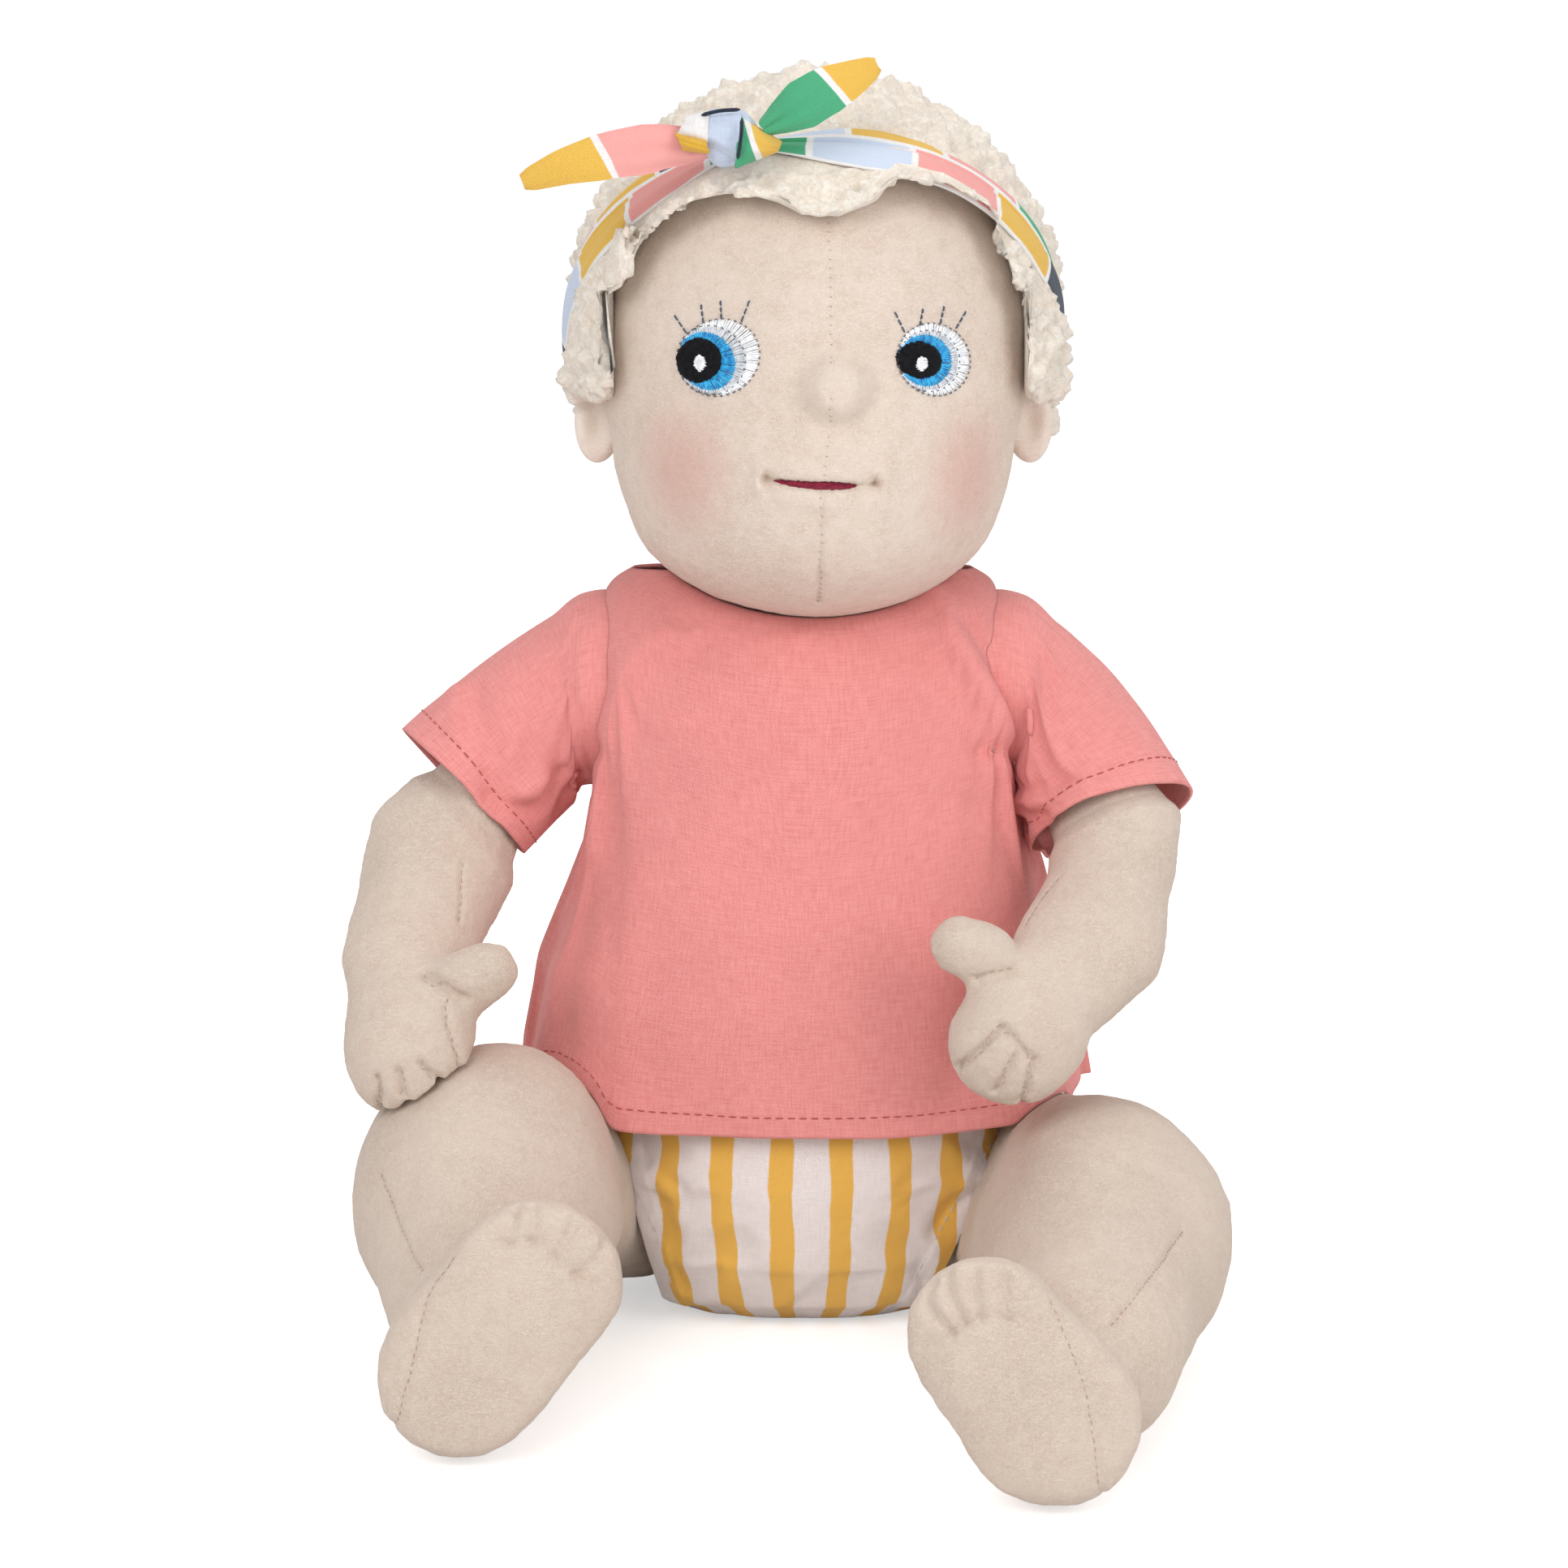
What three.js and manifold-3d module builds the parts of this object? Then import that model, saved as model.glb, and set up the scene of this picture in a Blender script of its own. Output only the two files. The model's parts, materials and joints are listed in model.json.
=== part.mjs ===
// A soft, weighted baby doll that sits: stuffed felt head, limbs and body, a fleece wig, embroidered eyes,
// a tied cotton headband, a cotton shirt that closes at the back, and striped cotton shorts.
// Millimetres. +X is the doll's left side, -Y is the way it faces, +Z is up, and it sits on z = 0.
import * as THREE from "three";
import { mergeVertices } from "three/addons/utils/BufferGeometryUtils.js";
import Module from "manifold-3d";

const wasm = await Module();
wasm.setup();

// Clearances and cloth
const seam_gap = 0.3;
const cloth = 1.2;
const edge_slack = 2;

// Torso, as rings from the seat up: height, half width, front, back
const middle = 1;
const torso_height = 184;
const seat_lift = cloth + seam_gap;
const torso_squareness = 2.6;
const torso_rings = [
  [seat_lift, 40, -42, 38],
  [7, 50, -52, 48],
  [20, 55.5, -58, 54],
  [42, 58, -61, 56],
  [66, 57, -61, 55],
  [95, 55, -57, 50],
  [122, 52, -50, 45],
  [146, 50, -43, 40],
  [162, 49.5, -38, 36],
  [175, 46, -33, 32],
  [torso_height, 34, -27, 28],
];
const pellet_bag = { height: 30, half_width: 30, half_depth: 26, half_height: 20 };

// Shoulders and arms
const shoulder_height = 167;
const shoulder_x = 45;
const armhole_radius = 27;
const sleeve_start = 60;
const sleeve_tuck = 13;
const sleeve_slack = 2.5;
const right_arm = {
  side: -1,
  spine: [[-40, 0, 167], [-64, -3, 162], [-84, -12, 144], [-98, -29, 119], [-102, -54, 101], [-101, -76, 89]],
  parts: [
    { from: [-40, 0, 167], to: [-64, -3, 162], r1: 18, r2: 17 },
    { from: [-64, -3, 162], to: [-96, -26, 123], r1: 17, r2: 18 },
    { from: [-96, -26, 123], to: [-102, -56, 100], r1: 18, r2: 15 },
    { from: [-102, -64, 95], to: [-101, -82, 81], r1: 14.5, r2: 13.5 },
  ],
  palm: { at: [-101, -78, 86], radii: [17, 14, 15] },
  thumb: [[-95, -72, 96], [-87, -75, 102], [-80, -76, 105.5]],
  thumb_radius: 8,
  cuff_at: [-89, -13, 139],
  cuff_axis: [-0.66, -0.25, -0.7],
  cuff_radius: 24.5,
  control: [-68, -1, 160],
};
const left_arm = {
  side: 1,
  spine: [[42, 0, 167], [64, -4, 162], [80, -18, 146], [86, -37, 127], [76, -64, 108], [58, -86, 94]],
  parts: [
    { from: [42, 0, 167], to: [66, -5, 161], r1: 18, r2: 17 },
    { from: [66, -5, 161], to: [86, -31, 132], r1: 17, r2: 16 },
    { from: [86, -31, 132], to: [78, -64, 108], r1: 16, r2: 15.5 },
    { from: [78, -64, 108], to: [58, -86, 95], r1: 15.5, r2: 13.5 },
  ],
  palm: { at: [55, -91, 89], radii: [18, 12, 16] },
  thumb: [[60, -84, 104], [49, -87, 112], [41, -88, 115]],
  thumb_radius: 8,
  cuff_at: [86, -24, 136],
  cuff_axis: [0.34, -0.5, -0.8],
  cuff_radius: 23.5,
  control: [69, -2, 160],
};

// Hips and legs: a leg turns on its hip axis against a flat round seam
const right_leg = {
  hip: [-44, -8, 33],
  hip_axis: [-0.96, 0, -0.27],
  sole_y: -168,
  knee: { at: [-81, -72, 45], radii: [34.5, 44, 40] },
  spine: [[-44, -6, 32], [-64, -38, 38], [-80, -76, 43], [-78, -118, 35], [-74, -150, 33], [-74, -164, 34]],
  parts: [
    { from: [-44, -4, 32], to: [-70, -40, 39], r1: 30, r2: 27 },
    { from: [-82, -80, 44], to: [-79, -128, 31], r1: 33, r2: 25 },
    { from: [-84, -158, 22.5], to: [-64.5, -158, 46], r1: 21.2, r2: 21.4 },
  ],
};
const left_leg = {
  hip: [46, -8, 32],
  hip_axis: [0.9, 0, -0.42],
  sole_y: -203,
  knee: { at: [78, -72, 33], radii: [34.5, 44, 37] },
  spine: [[46, -6, 32], [62, -36, 34], [76, -74, 33], [70, -136, 28], [54, -184, 33], [52, -199, 34]],
  parts: [
    { from: [46, -4, 32], to: [66, -40, 34], r1: 30, r2: 28 },
    { from: [78, -80, 33], to: [70, -152, 26], r1: 33, r2: 24.5 },
    { from: [60.5, -193, 23], to: [44, -193, 44], r1: 21.6, r2: 19.4 },
  ],
};
const sole_thickness = 4;
const limb_blend = 10;
const sole_blend = 6;
const leg_size = { around: 22, along: 17, cap: 4, crowd: 1.4 };
// Only the leg behind the foot is cut at the hip seam; the foot may reach in front of the body
const foot_length = 48;

// Neck and head; the heights are taken from the neck seam
const neck_seam = torso_height + seam_gap;
const neck_centre = [4, 2];
const neck_radius = 23;
const head_x = 4;
const cranium_height = 80;
const jaw_height = 45.5;
const muzzle_height = 42;
const nose_height = 70.5;
const mouth_height = 45.5;
const ear_rise = 55;
const face_turn = { muzzle: 2, mouth: 1.5, nose: 5.5 };
const cranium = { at: [head_x, 4, neck_seam + cranium_height], radii: [59, 61, 60] };
const jaw = { at: [head_x, -7, neck_seam + jaw_height], radii: [54.5, 51, 41.5] };
const muzzle = { at: [head_x + face_turn.muzzle, -34, neck_seam + muzzle_height], radii: [33, 27, 26] };
const nose = { at: [head_x + face_turn.nose, -56, neck_seam + nose_height], radii: [9, 9, 8.5] };
const head_blend = 16;
const mouth = { at: [head_x + face_turn.mouth, neck_seam + mouth_height], half_width: 10.5, half_height: 1.5,
  depth: 6 };
const head_core = [[head_x, -6, neck_seam + 40], [head_x, -2, neck_seam + 60], [head_x, 4, neck_seam + 84]];
const ear_height = neck_seam + ear_rise;
const ear = { half_width: 9.5, half_depth: 6, half_height: 11, stand_out: 55, back: 4 };

// Hair: a fleece cap with a face opening
const hair_thickness = 8;
const hairline = { x: head_x + 3.5, z: neck_seam + 62, half_width: 52, half_height: 51, squareness: 3 };
const hair_front_end = 2;
const face_reach = 200;
const face_sides = 32;
const sideburn_bottom = neck_seam + 63;
const nape = { y: 60, z: neck_seam + 30, rise: 0.42 };

// Eyes: flat embroidery, in the face's own plane as x and height
const thread = 0.8;
const eye_outline = 1.1;
const right_eye = {
  white: { x: -19.5, z: neck_seam + 78.3, rx: 9.2, rz: 10.1 },
  iris: { x: -23.4, z: neck_seam + 77.4, rx: 7.6, rz: 8 },
  pupil: { x: -25.4, z: neck_seam + 77.4, rx: 4.9, rz: 5.4 },
  glint: { x: -24.6, z: neck_seam + 77.4, rx: 1.5, rz: 1.9 },
  lashes: [[-32.5, 90.4, -26.4, 84.6], [-25.2, 93.2, -23.4, 86.6], [-20.3, 94.2, -19.7, 87.4],
    [-12.6, 93.8, -15.4, 86.4]],
};
const left_eye = {
  white: { x: 36.4, z: neck_seam + 77.7, rx: 8.8, rz: 9.6 },
  iris: { x: 33.4, z: neck_seam + 77.4, rx: 7, rz: 7.8 },
  pupil: { x: 32.4, z: neck_seam + 77.4, rx: 4.7, rz: 5.3 },
  glint: { x: 32.9, z: neck_seam + 77.4, rx: 1.4, rz: 1.8 },
  lashes: [[26.6, 91.4, 30.4, 85.2], [33.2, 92, 34.4, 86.4], [39, 92.4, 38, 86.6], [44.8, 91.2, 41.2, 85.2]],
};
const lash_width = 0.9;

// Headband: a tied band round the crown and the nape, in a plane that leans back
const band_centre = [3, 5, neck_seam + 81];
const band_lean = 42;
const band_width = 17;
const band_thickness = 2.5;
const knot = { at: [-16, -50, neck_seam + 134], radii: [11, 10, 8.5], turn: 20 };
const right_tail = { path: [[-21, -52, 316], [-46, -57, 314.5], [-70, -56, 306.5]], half_width: 7.2 };
const left_tail = { path: [[-10, -52, 320], [5, -56, 330], [20, -56, 339.5]], half_width: 6.6 };
const tail_thickness = 3;

// Shirt, as rings from the shoulders down: height, half width, front, back
const neckline = { half_width: 44, front: -27, back: 29, depth: 17.5 };
const shirt_top = 200;
const shirt_rings = [
  [92, 73.5, -70, 65, 2.7],
  [112, 65.2, -63, 59.5, 2.8],
  [128, 59, -57, 54, 3],
  [140, 57.2, -52, 50, 3.4],
  [154, 57, -46, 46, 4],
  [168, 57, -41, 42, 4.2],
  [179, 56.5, -34, 36, 4.2],
  [187, neckline.half_width + 11.5, -26, 29, 4.2],
  [193, neckline.half_width + 10, -18, 21, 4],
  [197, neckline.half_width + 7, -12, 15, 3.4],
  [shirt_top, neckline.half_width + 2, -7, 9, 3],
];
const hem_ring = { half_width: 79, front: -74, back: 70, height: 59, side_rise: 8, squareness: 2.7 };
const hem_waves = { count: 9, depth: 1.6 };
const placket = { half_width: 14, thickness: 1, low: 68, high: 150 };
const tape = { width: 11, thickness: 0.7, low: 74, high: 144 };

// Shorts
const shorts_height = 84;
const waistband = { height: 9, thickness: 2 };

// Colours
const felt = 0xe6d7c8;
const fleece = 0xf1e9dc;
const coral = 0xee8f8c;
const shorts_white = 0xf3eee9;
const band_white = 0xf2efec;
const thread_white = 0xf7f7f7;
const thread_blue = 0x1f94d8;
const thread_black = 0x0e0e12;
const thread_grey = 0x59626e;
const crimson = 0x8c1f3c;
const hook_white = 0xf4f1ee;
const pellets = 0xd8d4cc;

const turn = Math.PI * 2;
const vec = (p) => new THREE.Vector3(p[0], p[1], p[2]);
const up = new THREE.Vector3(0, 0, 1);
const back = new THREE.Vector3(0, 1, 0);
const leftward = new THREE.Vector3(1, 0, 0);

// Booleans on closed meshes
function solidOf(geometry) {
  const bare = new THREE.BufferGeometry().setAttribute("position", geometry.getAttribute("position"));
  if (geometry.index) bare.setIndex(geometry.index);
  const merged = mergeVertices(bare, 1e-4);
  const triVerts = new Uint32Array(merged.index.array);
  const vertProperties = new Float32Array(merged.getAttribute("position").array);
  const solid = new wasm.Manifold(new wasm.Mesh({ numProp: 3, vertProperties, triVerts }));
  if (solid.volume() >= 0) return solid;
  for (let i = 0; i < triVerts.length; i += 3) {
    [triVerts[i + 1], triVerts[i + 2]] = [triVerts[i + 2], triVerts[i + 1]];
  }
  return new wasm.Manifold(new wasm.Mesh({ numProp: 3, vertProperties, triVerts }));
}

function geometryOf(solid) {
  const mesh = solid.getMesh();
  const points = new Float32Array(mesh.numVert * 3);
  for (let i = 0; i < mesh.numVert; i++) {
    points.set(mesh.vertProperties.subarray(i * mesh.numProp, i * mesh.numProp + 3), i * 3);
  }
  const geometry = new THREE.BufferGeometry().setAttribute("position", new THREE.BufferAttribute(points, 3));
  geometry.setIndex(new THREE.BufferAttribute(mesh.triVerts, 1));
  geometry.computeVertexNormals();
  return geometry;
}

// The half of space that lies past a point in the direction of a normal, as a large block
function halfSpace(point, normal) {
  const size = 900;
  const block = new THREE.BoxGeometry(size, size, size).translate(0, 0, size / 2);
  const turned = new THREE.Quaternion().setFromUnitVectors(up, vec(normal).normalize());
  block.applyQuaternion(turned);
  block.translate(point[0], point[1], point[2]);
  return solidOf(block);
}

// An upright or lying prism with an elliptic outline
function ellipticPrism(centre, axis, rx, ry, length, sides) {
  const prism = new THREE.CylinderGeometry(1, 1, length, sides).rotateX(Math.PI / 2);
  prism.scale(rx, ry, 1);
  if (axis === "y") prism.rotateX(-Math.PI / 2);
  if (axis === "x") prism.rotateY(Math.PI / 2);
  prism.translate(centre[0], centre[1], centre[2]);
  return solidOf(prism);
}

// Closed grids: rows of points with a pole at each end, or rows that close on themselves
function gridGeometry(rows, poles) {
  const count = rows[0].length;
  const points = rows.flat().map((p) => [p.x, p.y, p.z]);
  const faces = [];
  const at = (i, j) => (i % rows.length) * count + (j % count);
  const lastRow = poles ? rows.length - 1 : rows.length;
  for (let i = 0; i < lastRow; i++) {
    for (let j = 0; j < count; j++) {
      faces.push(at(i, j), at(i, j + 1), at(i + 1, j + 1));
      faces.push(at(i, j), at(i + 1, j + 1), at(i + 1, j));
    }
  }
  if (poles) {
    const first = points.push([poles[0].x, poles[0].y, poles[0].z]) - 1;
    const last = points.push([poles[1].x, poles[1].y, poles[1].z]) - 1;
    for (let j = 0; j < count; j++) {
      faces.push(first, at(0, j + 1), at(0, j));
      faces.push(last, at(rows.length - 1, j), at(rows.length - 1, j + 1));
    }
  }
  const geometry = new THREE.BufferGeometry();
  geometry.setAttribute("position", new THREE.Float32BufferAttribute(points.flat(), 3));
  return geometry.setIndex(faces);
}

// Distance fields of the stuffed forms, below 0 inside
function capsuleField(part) {
  const from = vec(part.from);
  const along = vec(part.to).sub(from);
  const length2 = along.lengthSq();
  return (p) => {
    const t = THREE.MathUtils.clamp(p.clone().sub(from).dot(along) / length2, 0, 1);
    const nearest = from.clone().addScaledVector(along, t);
    return p.distanceTo(nearest) - THREE.MathUtils.lerp(part.r1, part.r2, t);
  };
}

function ellipsoidField(ball) {
  const [cx, cy, cz] = ball.at;
  const [rx, ry, rz] = ball.radii;
  return (p) => {
    const q = new THREE.Vector3((p.x - cx) / rx, (p.y - cy) / ry, (p.z - cz) / rz);
    const g = new THREE.Vector3(q.x / rx, q.y / ry, q.z / rz);
    const k = q.length();
    return k < 1e-6 ? -Math.min(rx, ry, rz) : (k * (k - 1)) / g.length();
  };
}

function softMin(a, b, blend) {
  const h = Math.max(blend - Math.abs(a - b), 0) / blend;
  return Math.min(a, b) - (h * h * blend) / 4;
}

function blendFields(fields, blend) {
  return (p) => fields.map((f) => f(p)).reduce((a, b) => softMin(a, b, blend));
}

// Where a ray from inside leaves a form
function reach(field, origin, direction) {
  const step = 1;
  const furthest = 200;
  let near = 0;
  let far = step;
  while (far < furthest && field(origin.clone().addScaledVector(direction, far)) < 0) {
    near = far;
    far += step;
  }
  for (let i = 0; i < 10; i++) {
    const mid = (near + far) / 2;
    if (field(origin.clone().addScaledVector(direction, mid)) < 0) near = mid;
    else far = mid;
  }
  return origin.clone().addScaledVector(direction, (near + far) / 2);
}

// The skin of a stuffed form: rays leave its spine at right angles, and fan out over both ends
function stuffedSkin(field, spine, side, size) {
  const curve = new THREE.CatmullRomCurve3(spine.map(vec), false, "centripetal");
  const bias = size.frontBias ?? 0;
  const crowd = size.crowd ?? 1;
  const angles = Array.from({ length: size.around }, (_, j) => {
    const a = (turn * j) / size.around;
    return a - bias * Math.sin(a + Math.PI / 2);
  });
  const ray = (t, tilt) => {
    const origin = curve.getPointAt(t);
    const tangent = curve.getTangentAt(t);
    const across = side.clone().addScaledVector(tangent, -side.dot(tangent)).normalize();
    const over = tangent.clone().cross(across);
    return angles.map((a) => {
      const out = across.clone().multiplyScalar(Math.cos(a)).addScaledVector(over, Math.sin(a));
      out.multiplyScalar(Math.cos(tilt)).addScaledVector(tangent, Math.sin(tilt));
      return reach(field, origin, out);
    });
  };
  const rows = [];
  for (let i = size.cap - 1; i > 0; i--) rows.push(ray(0, (-i / size.cap) * (Math.PI / 2)));
  for (let i = 0; i <= size.along; i++) rows.push(ray(1 - (1 - i / size.along) ** crowd, 0));
  for (let i = 1; i < size.cap; i++) rows.push(ray(1, (i / size.cap) * (Math.PI / 2)));
  const first = reach(field, curve.getPointAt(0), curve.getTangentAt(0).negate());
  const last = reach(field, curve.getPointAt(1), curve.getTangentAt(1));
  return solidOf(gridGeometry(rows, [first, last]));
}

// Rings with rounded corners, one above another
function ringPoint(angle, halfWidth, front, rear, squareness) {
  const c = Math.cos(angle);
  const s = Math.sin(angle);
  const power = 2 / squareness;
  const x = Math.sign(c) * Math.abs(c) ** power * halfWidth;
  const y = Math.abs(s) ** power * (s < 0 ? front : rear);
  return new THREE.Vector3(middle + x, y, 0);
}

function loft(rings, squareness, around, grow) {
  const last = rings.length - 1;
  const rows = rings.map(([z, halfWidth, front, rear], i) => {
    const lift = i === 0 ? -grow : i === last ? grow : 0;
    return Array.from({ length: around }, (_, j) => {
      const p = ringPoint((turn * j) / around, halfWidth + grow, front - grow, rear + grow, squareness);
      return p.setZ(z + lift);
    });
  });
  const poles = [rings[0][0] - grow, rings[last][0] + grow].map((z) => new THREE.Vector3(middle, 0, z));
  return solidOf(gridGeometry(rows, poles));
}

function put(group, name, solid, color, roughness) {
  const material = new THREE.MeshStandardMaterial({ color, roughness, metalness: 0 });
  const mesh = new THREE.Mesh(geometryOf(solid), material);
  mesh.name = name;
  group.add(mesh);
  return mesh;
}

const doll = new THREE.Group();
const floor = halfSpace([0, 0, 0], [0, 0, 1]);

// Legs: thigh, shin and foot in one skin, a sole panel sewn to its end
function makeLeg(leg, name) {
  const parts = blendFields([...leg.parts.map(capsuleField), ellipsoidField(leg.knee)], limb_blend);
  const sole = (p) => leg.sole_y - p.y;
  const field = (p) => -softMin(-parts(p), -sole(p), sole_blend);
  const skin = stuffedSkin(field, leg.spine, leftward, leg_size);
  const axis = vec(leg.hip_axis).normalize();
  const hip = vec(leg.hip).addScaledVector(axis, seam_gap / 2);
  const behind_foot = halfSpace([0, leg.sole_y + foot_length, 0], [0, 1, 0]);
  const past_hip = halfSpace(hip.toArray(), axis.clone().negate().toArray()).intersect(behind_foot);
  const whole = skin.subtract(past_hip).intersect(floor);
  const seam_y = leg.sole_y + sole_thickness;
  put(doll, name + "_leg", whole.intersect(halfSpace([0, seam_y + seam_gap, 0], [0, 1, 0])), felt, 0.95);
  put(doll, name + "_sole", whole.intersect(halfSpace([0, seam_y, 0], [0, -1, 0])), felt, 0.95);
  const room = stuffedSkin((p) => field(p) - seam_gap * 2, leg.spine, leftward, leg_size);
  return { field, axis, hip: vec(leg.hip), room };
}

const legs = [makeLeg(right_leg, "right"), makeLeg(left_leg, "left")];

// The top of either thigh under a point, or 0 beside them
function lapHeight(x, y) {
  const highest = 110;
  const step = 0.5;
  for (let z = highest; z > 0; z -= step) {
    const p = new THREE.Vector3(x, y, z);
    if (legs.some((leg) => leg.field(p) < 0 && leg.axis.dot(p.clone().sub(leg.hip)) > 0)) return z + step;
  }
  return 0;
}

// Torso: front and back halves of the stuffed body, with the pellet bag between them
function cutAtHips(solid) {
  return legs.reduce((rest, leg) => {
    const edge = leg.hip.clone().addScaledVector(leg.axis, -seam_gap / 2);
    return rest.subtract(halfSpace(edge.toArray(), leg.axis.toArray()));
  }, solid);
}

function cutAtShoulders(solid) {
  const limit = shoulder_x - seam_gap / 2;
  const right = solid.subtract(halfSpace([middle - limit, 0, 0], [-1, 0, 0]));
  return right.subtract(halfSpace([middle + limit, 0, 0], [1, 0, 0]));
}

const frontHalf = halfSpace([0, -seam_gap / 2, 0], [0, -1, 0]);
const backHalf = halfSpace([0, seam_gap / 2, 0], [0, 1, 0]);

function bagShape(grow) {
  const ball = new THREE.SphereGeometry(1, 16, 10).rotateX(Math.PI / 2);
  ball.scale(pellet_bag.half_width + grow, pellet_bag.half_depth + grow, pellet_bag.half_height + grow);
  ball.translate(middle, 0, pellet_bag.height);
  return solidOf(ball);
}

const torso = cutAtShoulders(cutAtHips(loft(torso_rings, torso_squareness, 32, 0)));
const stuffed = torso.subtract(bagShape(seam_gap));
put(doll, "torso_front", stuffed.intersect(frontHalf), felt, 0.95);
put(doll, "torso_back", stuffed.intersect(backHalf), felt, 0.95);
put(doll, "pellet_bag", bagShape(0), pellets, 0.9);

// Shorts: a cotton cup round the hips, cut at both leg seams, with an elastic waistband
function ringsUpTo(rings, height) {
  const below = rings.filter((ring) => ring[0] < height);
  const [low, high] = [below[below.length - 1], rings[below.length]];
  const t = (height - low[0]) / (high[0] - low[0]);
  return [...below, low.map((value, i) => THREE.MathUtils.lerp(value, high[i], t))];
}

const waist_base = shorts_height - waistband.height;
const hips_inner = loft(ringsUpTo(torso_rings, shorts_height + cloth * 2), torso_squareness, 32, seam_gap);
const hips_outer = loft(ringsUpTo(torso_rings, shorts_height), torso_squareness, 32, seat_lift);
const below_band = halfSpace([0, 0, waist_base - seam_gap], [0, 0, -1]);
const shorts = cutAtHips(hips_outer.subtract(hips_inner).intersect(below_band)).intersect(floor);
put(doll, "shorts_front", shorts.intersect(frontHalf), shorts_white, 0.9);
put(doll, "shorts_back", shorts.intersect(backHalf), shorts_white, 0.9);

const band_grow = seam_gap + waistband.thickness;
const band_outer = loft(ringsUpTo(torso_rings, shorts_height), torso_squareness, 32, band_grow);
const above_waist = halfSpace([0, 0, waist_base], [0, 0, 1]);
const band_zone = above_waist.subtract(halfSpace([0, 0, shorts_height], [0, 0, 1]));
put(doll, "shorts_waistband", band_outer.subtract(hips_inner).intersect(band_zone), shorts_white, 0.9);

// Sleeve rings: a sleeve starts as a round tube in its armhole, and turns with the arm
function sleeveRows(arm, inset, beyond = 0) {
  const rootAt = new THREE.Vector3(middle + arm.side * sleeve_start, 0, shoulder_height);
  const rootAxis = new THREE.Vector3(arm.side, 0, 0);
  const cuffAxis = vec(arm.cuff_axis).normalize();
  const cuffAt = vec(arm.cuff_at);
  const path = new THREE.QuadraticBezierCurve3(rootAt, vec(arm.control), cuffAt);
  const radius = armhole_radius - seam_gap * 2;
  const steps = 5;
  const rows = [];
  const addRow = (centre, axis, size) => {
    const over = back.clone().addScaledVector(axis, -back.dot(axis)).normalize();
    const across = over.clone().cross(axis);
    rows.push(Array.from({ length: 20 }, (_, j) => {
      const a = (turn * j) / 20;
      return centre.clone().addScaledVector(over, (size - inset) * Math.cos(a))
        .addScaledVector(across, (size - inset) * Math.sin(a));
    }));
  };
  addRow(rootAt.clone().addScaledVector(rootAxis, -sleeve_tuck - beyond), rootAxis, radius);
  for (let i = 0; i <= steps; i++) {
    const t = i / steps;
    const axis = rootAxis.clone().lerp(cuffAxis, t).normalize();
    const drawn_in = sleeve_slack * Math.sin(Math.PI * t);
    addRow(path.getPoint(t), axis, THREE.MathUtils.lerp(radius, arm.cuff_radius, t) - drawn_in);
  }
  rows[rows.length - 1].forEach((p) => p.addScaledVector(cuffAxis, beyond));
  return rows;
}

// The room inside a sleeve, closed at both ends
function sleeveRoom(arm) {
  const rows = sleeveRows(arm, cloth + seam_gap, seam_gap * 12);
  const middles = [rows[0], rows[rows.length - 1]].map((row) =>
    row.reduce((sum, p) => sum.add(p), new THREE.Vector3()).divideScalar(row.length));
  return solidOf(gridGeometry(rows, middles));
}

function sleeveShell(arm) {
  const outside = sleeveRows(arm, -seam_gap, seam_gap);
  const inside = sleeveRows(arm, cloth + seam_gap, seam_gap);
  return solidOf(gridGeometry([...outside, ...inside.reverse()], null));
}

// Arms: upper arm, forearm, mitten hand and thumb in one skin
function makeArm(arm, name) {
  const palm = ellipsoidField(arm.palm);
  const field = blendFields([...arm.parts.map(capsuleField), palm], limb_blend);
  const skin = stuffedSkin(field, arm.spine, back, { around: 16, along: 13, cap: 4 });
  const thumbPart = (from, to) => capsuleField({ from, to, r1: arm.thumb_radius, r2: arm.thumb_radius });
  const [base, middle_joint, tip] = arm.thumb;
  const thumbField = blendFields([thumbPart(base, middle_joint), thumbPart(middle_joint, tip)], 4);
  const thumb = stuffedSkin(thumbField, arm.thumb, back, { around: 10, along: 4, cap: 3 });
  const root = [middle + arm.side * (shoulder_x + seam_gap / 2), 0, shoulder_height];
  const below_root = [0, 0, shoulder_height - armhole_radius];
  const whole = legs.reduce((rest, leg) => rest.subtract(leg.room), skin.add(thumb))
    .subtract(halfSpace(root, [-arm.side, 0, 0]).subtract(halfSpace(below_root, [0, 0, -1])));
  const below_cuff = whole.intersect(halfSpace(arm.cuff_at, arm.cuff_axis)).subtract(sleeveShell(arm));
  put(doll, name + "_arm", whole.intersect(sleeveRoom(arm)).add(below_cuff), felt, 0.95);
}

makeArm(right_arm, "right");
makeArm(left_arm, "left");

// Neck: a stuffed dome in a round hollow under the head, so that the head turns and nods on it
function neckDome(radius) {
  const dome = new THREE.SphereGeometry(radius, 20, 14).rotateX(Math.PI / 2);
  dome.translate(neck_centre[0], neck_centre[1], neck_seam);
  return solidOf(dome);
}

const above_torso = halfSpace([0, 0, neck_seam], [0, 0, 1]);
put(doll, "neck", neckDome(neck_radius).intersect(above_torso), felt, 0.95);

// Head
const skullField = blendFields([cranium, jaw, muzzle].map(ellipsoidField), head_blend);
const head_size = { around: 34, along: 7, cap: 6, frontBias: 0.3 };
const skull = stuffedSkin(skullField, head_core, leftward, head_size);

function faceDepth(x, z) {
  let near = -110;
  let far = -10;
  for (let i = 0; i < 22; i++) {
    const mid = (near + far) / 2;
    if (skullField(new THREE.Vector3(x, mid, z)) > 0) near = mid;
    else far = mid;
  }
  return far;
}

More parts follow.
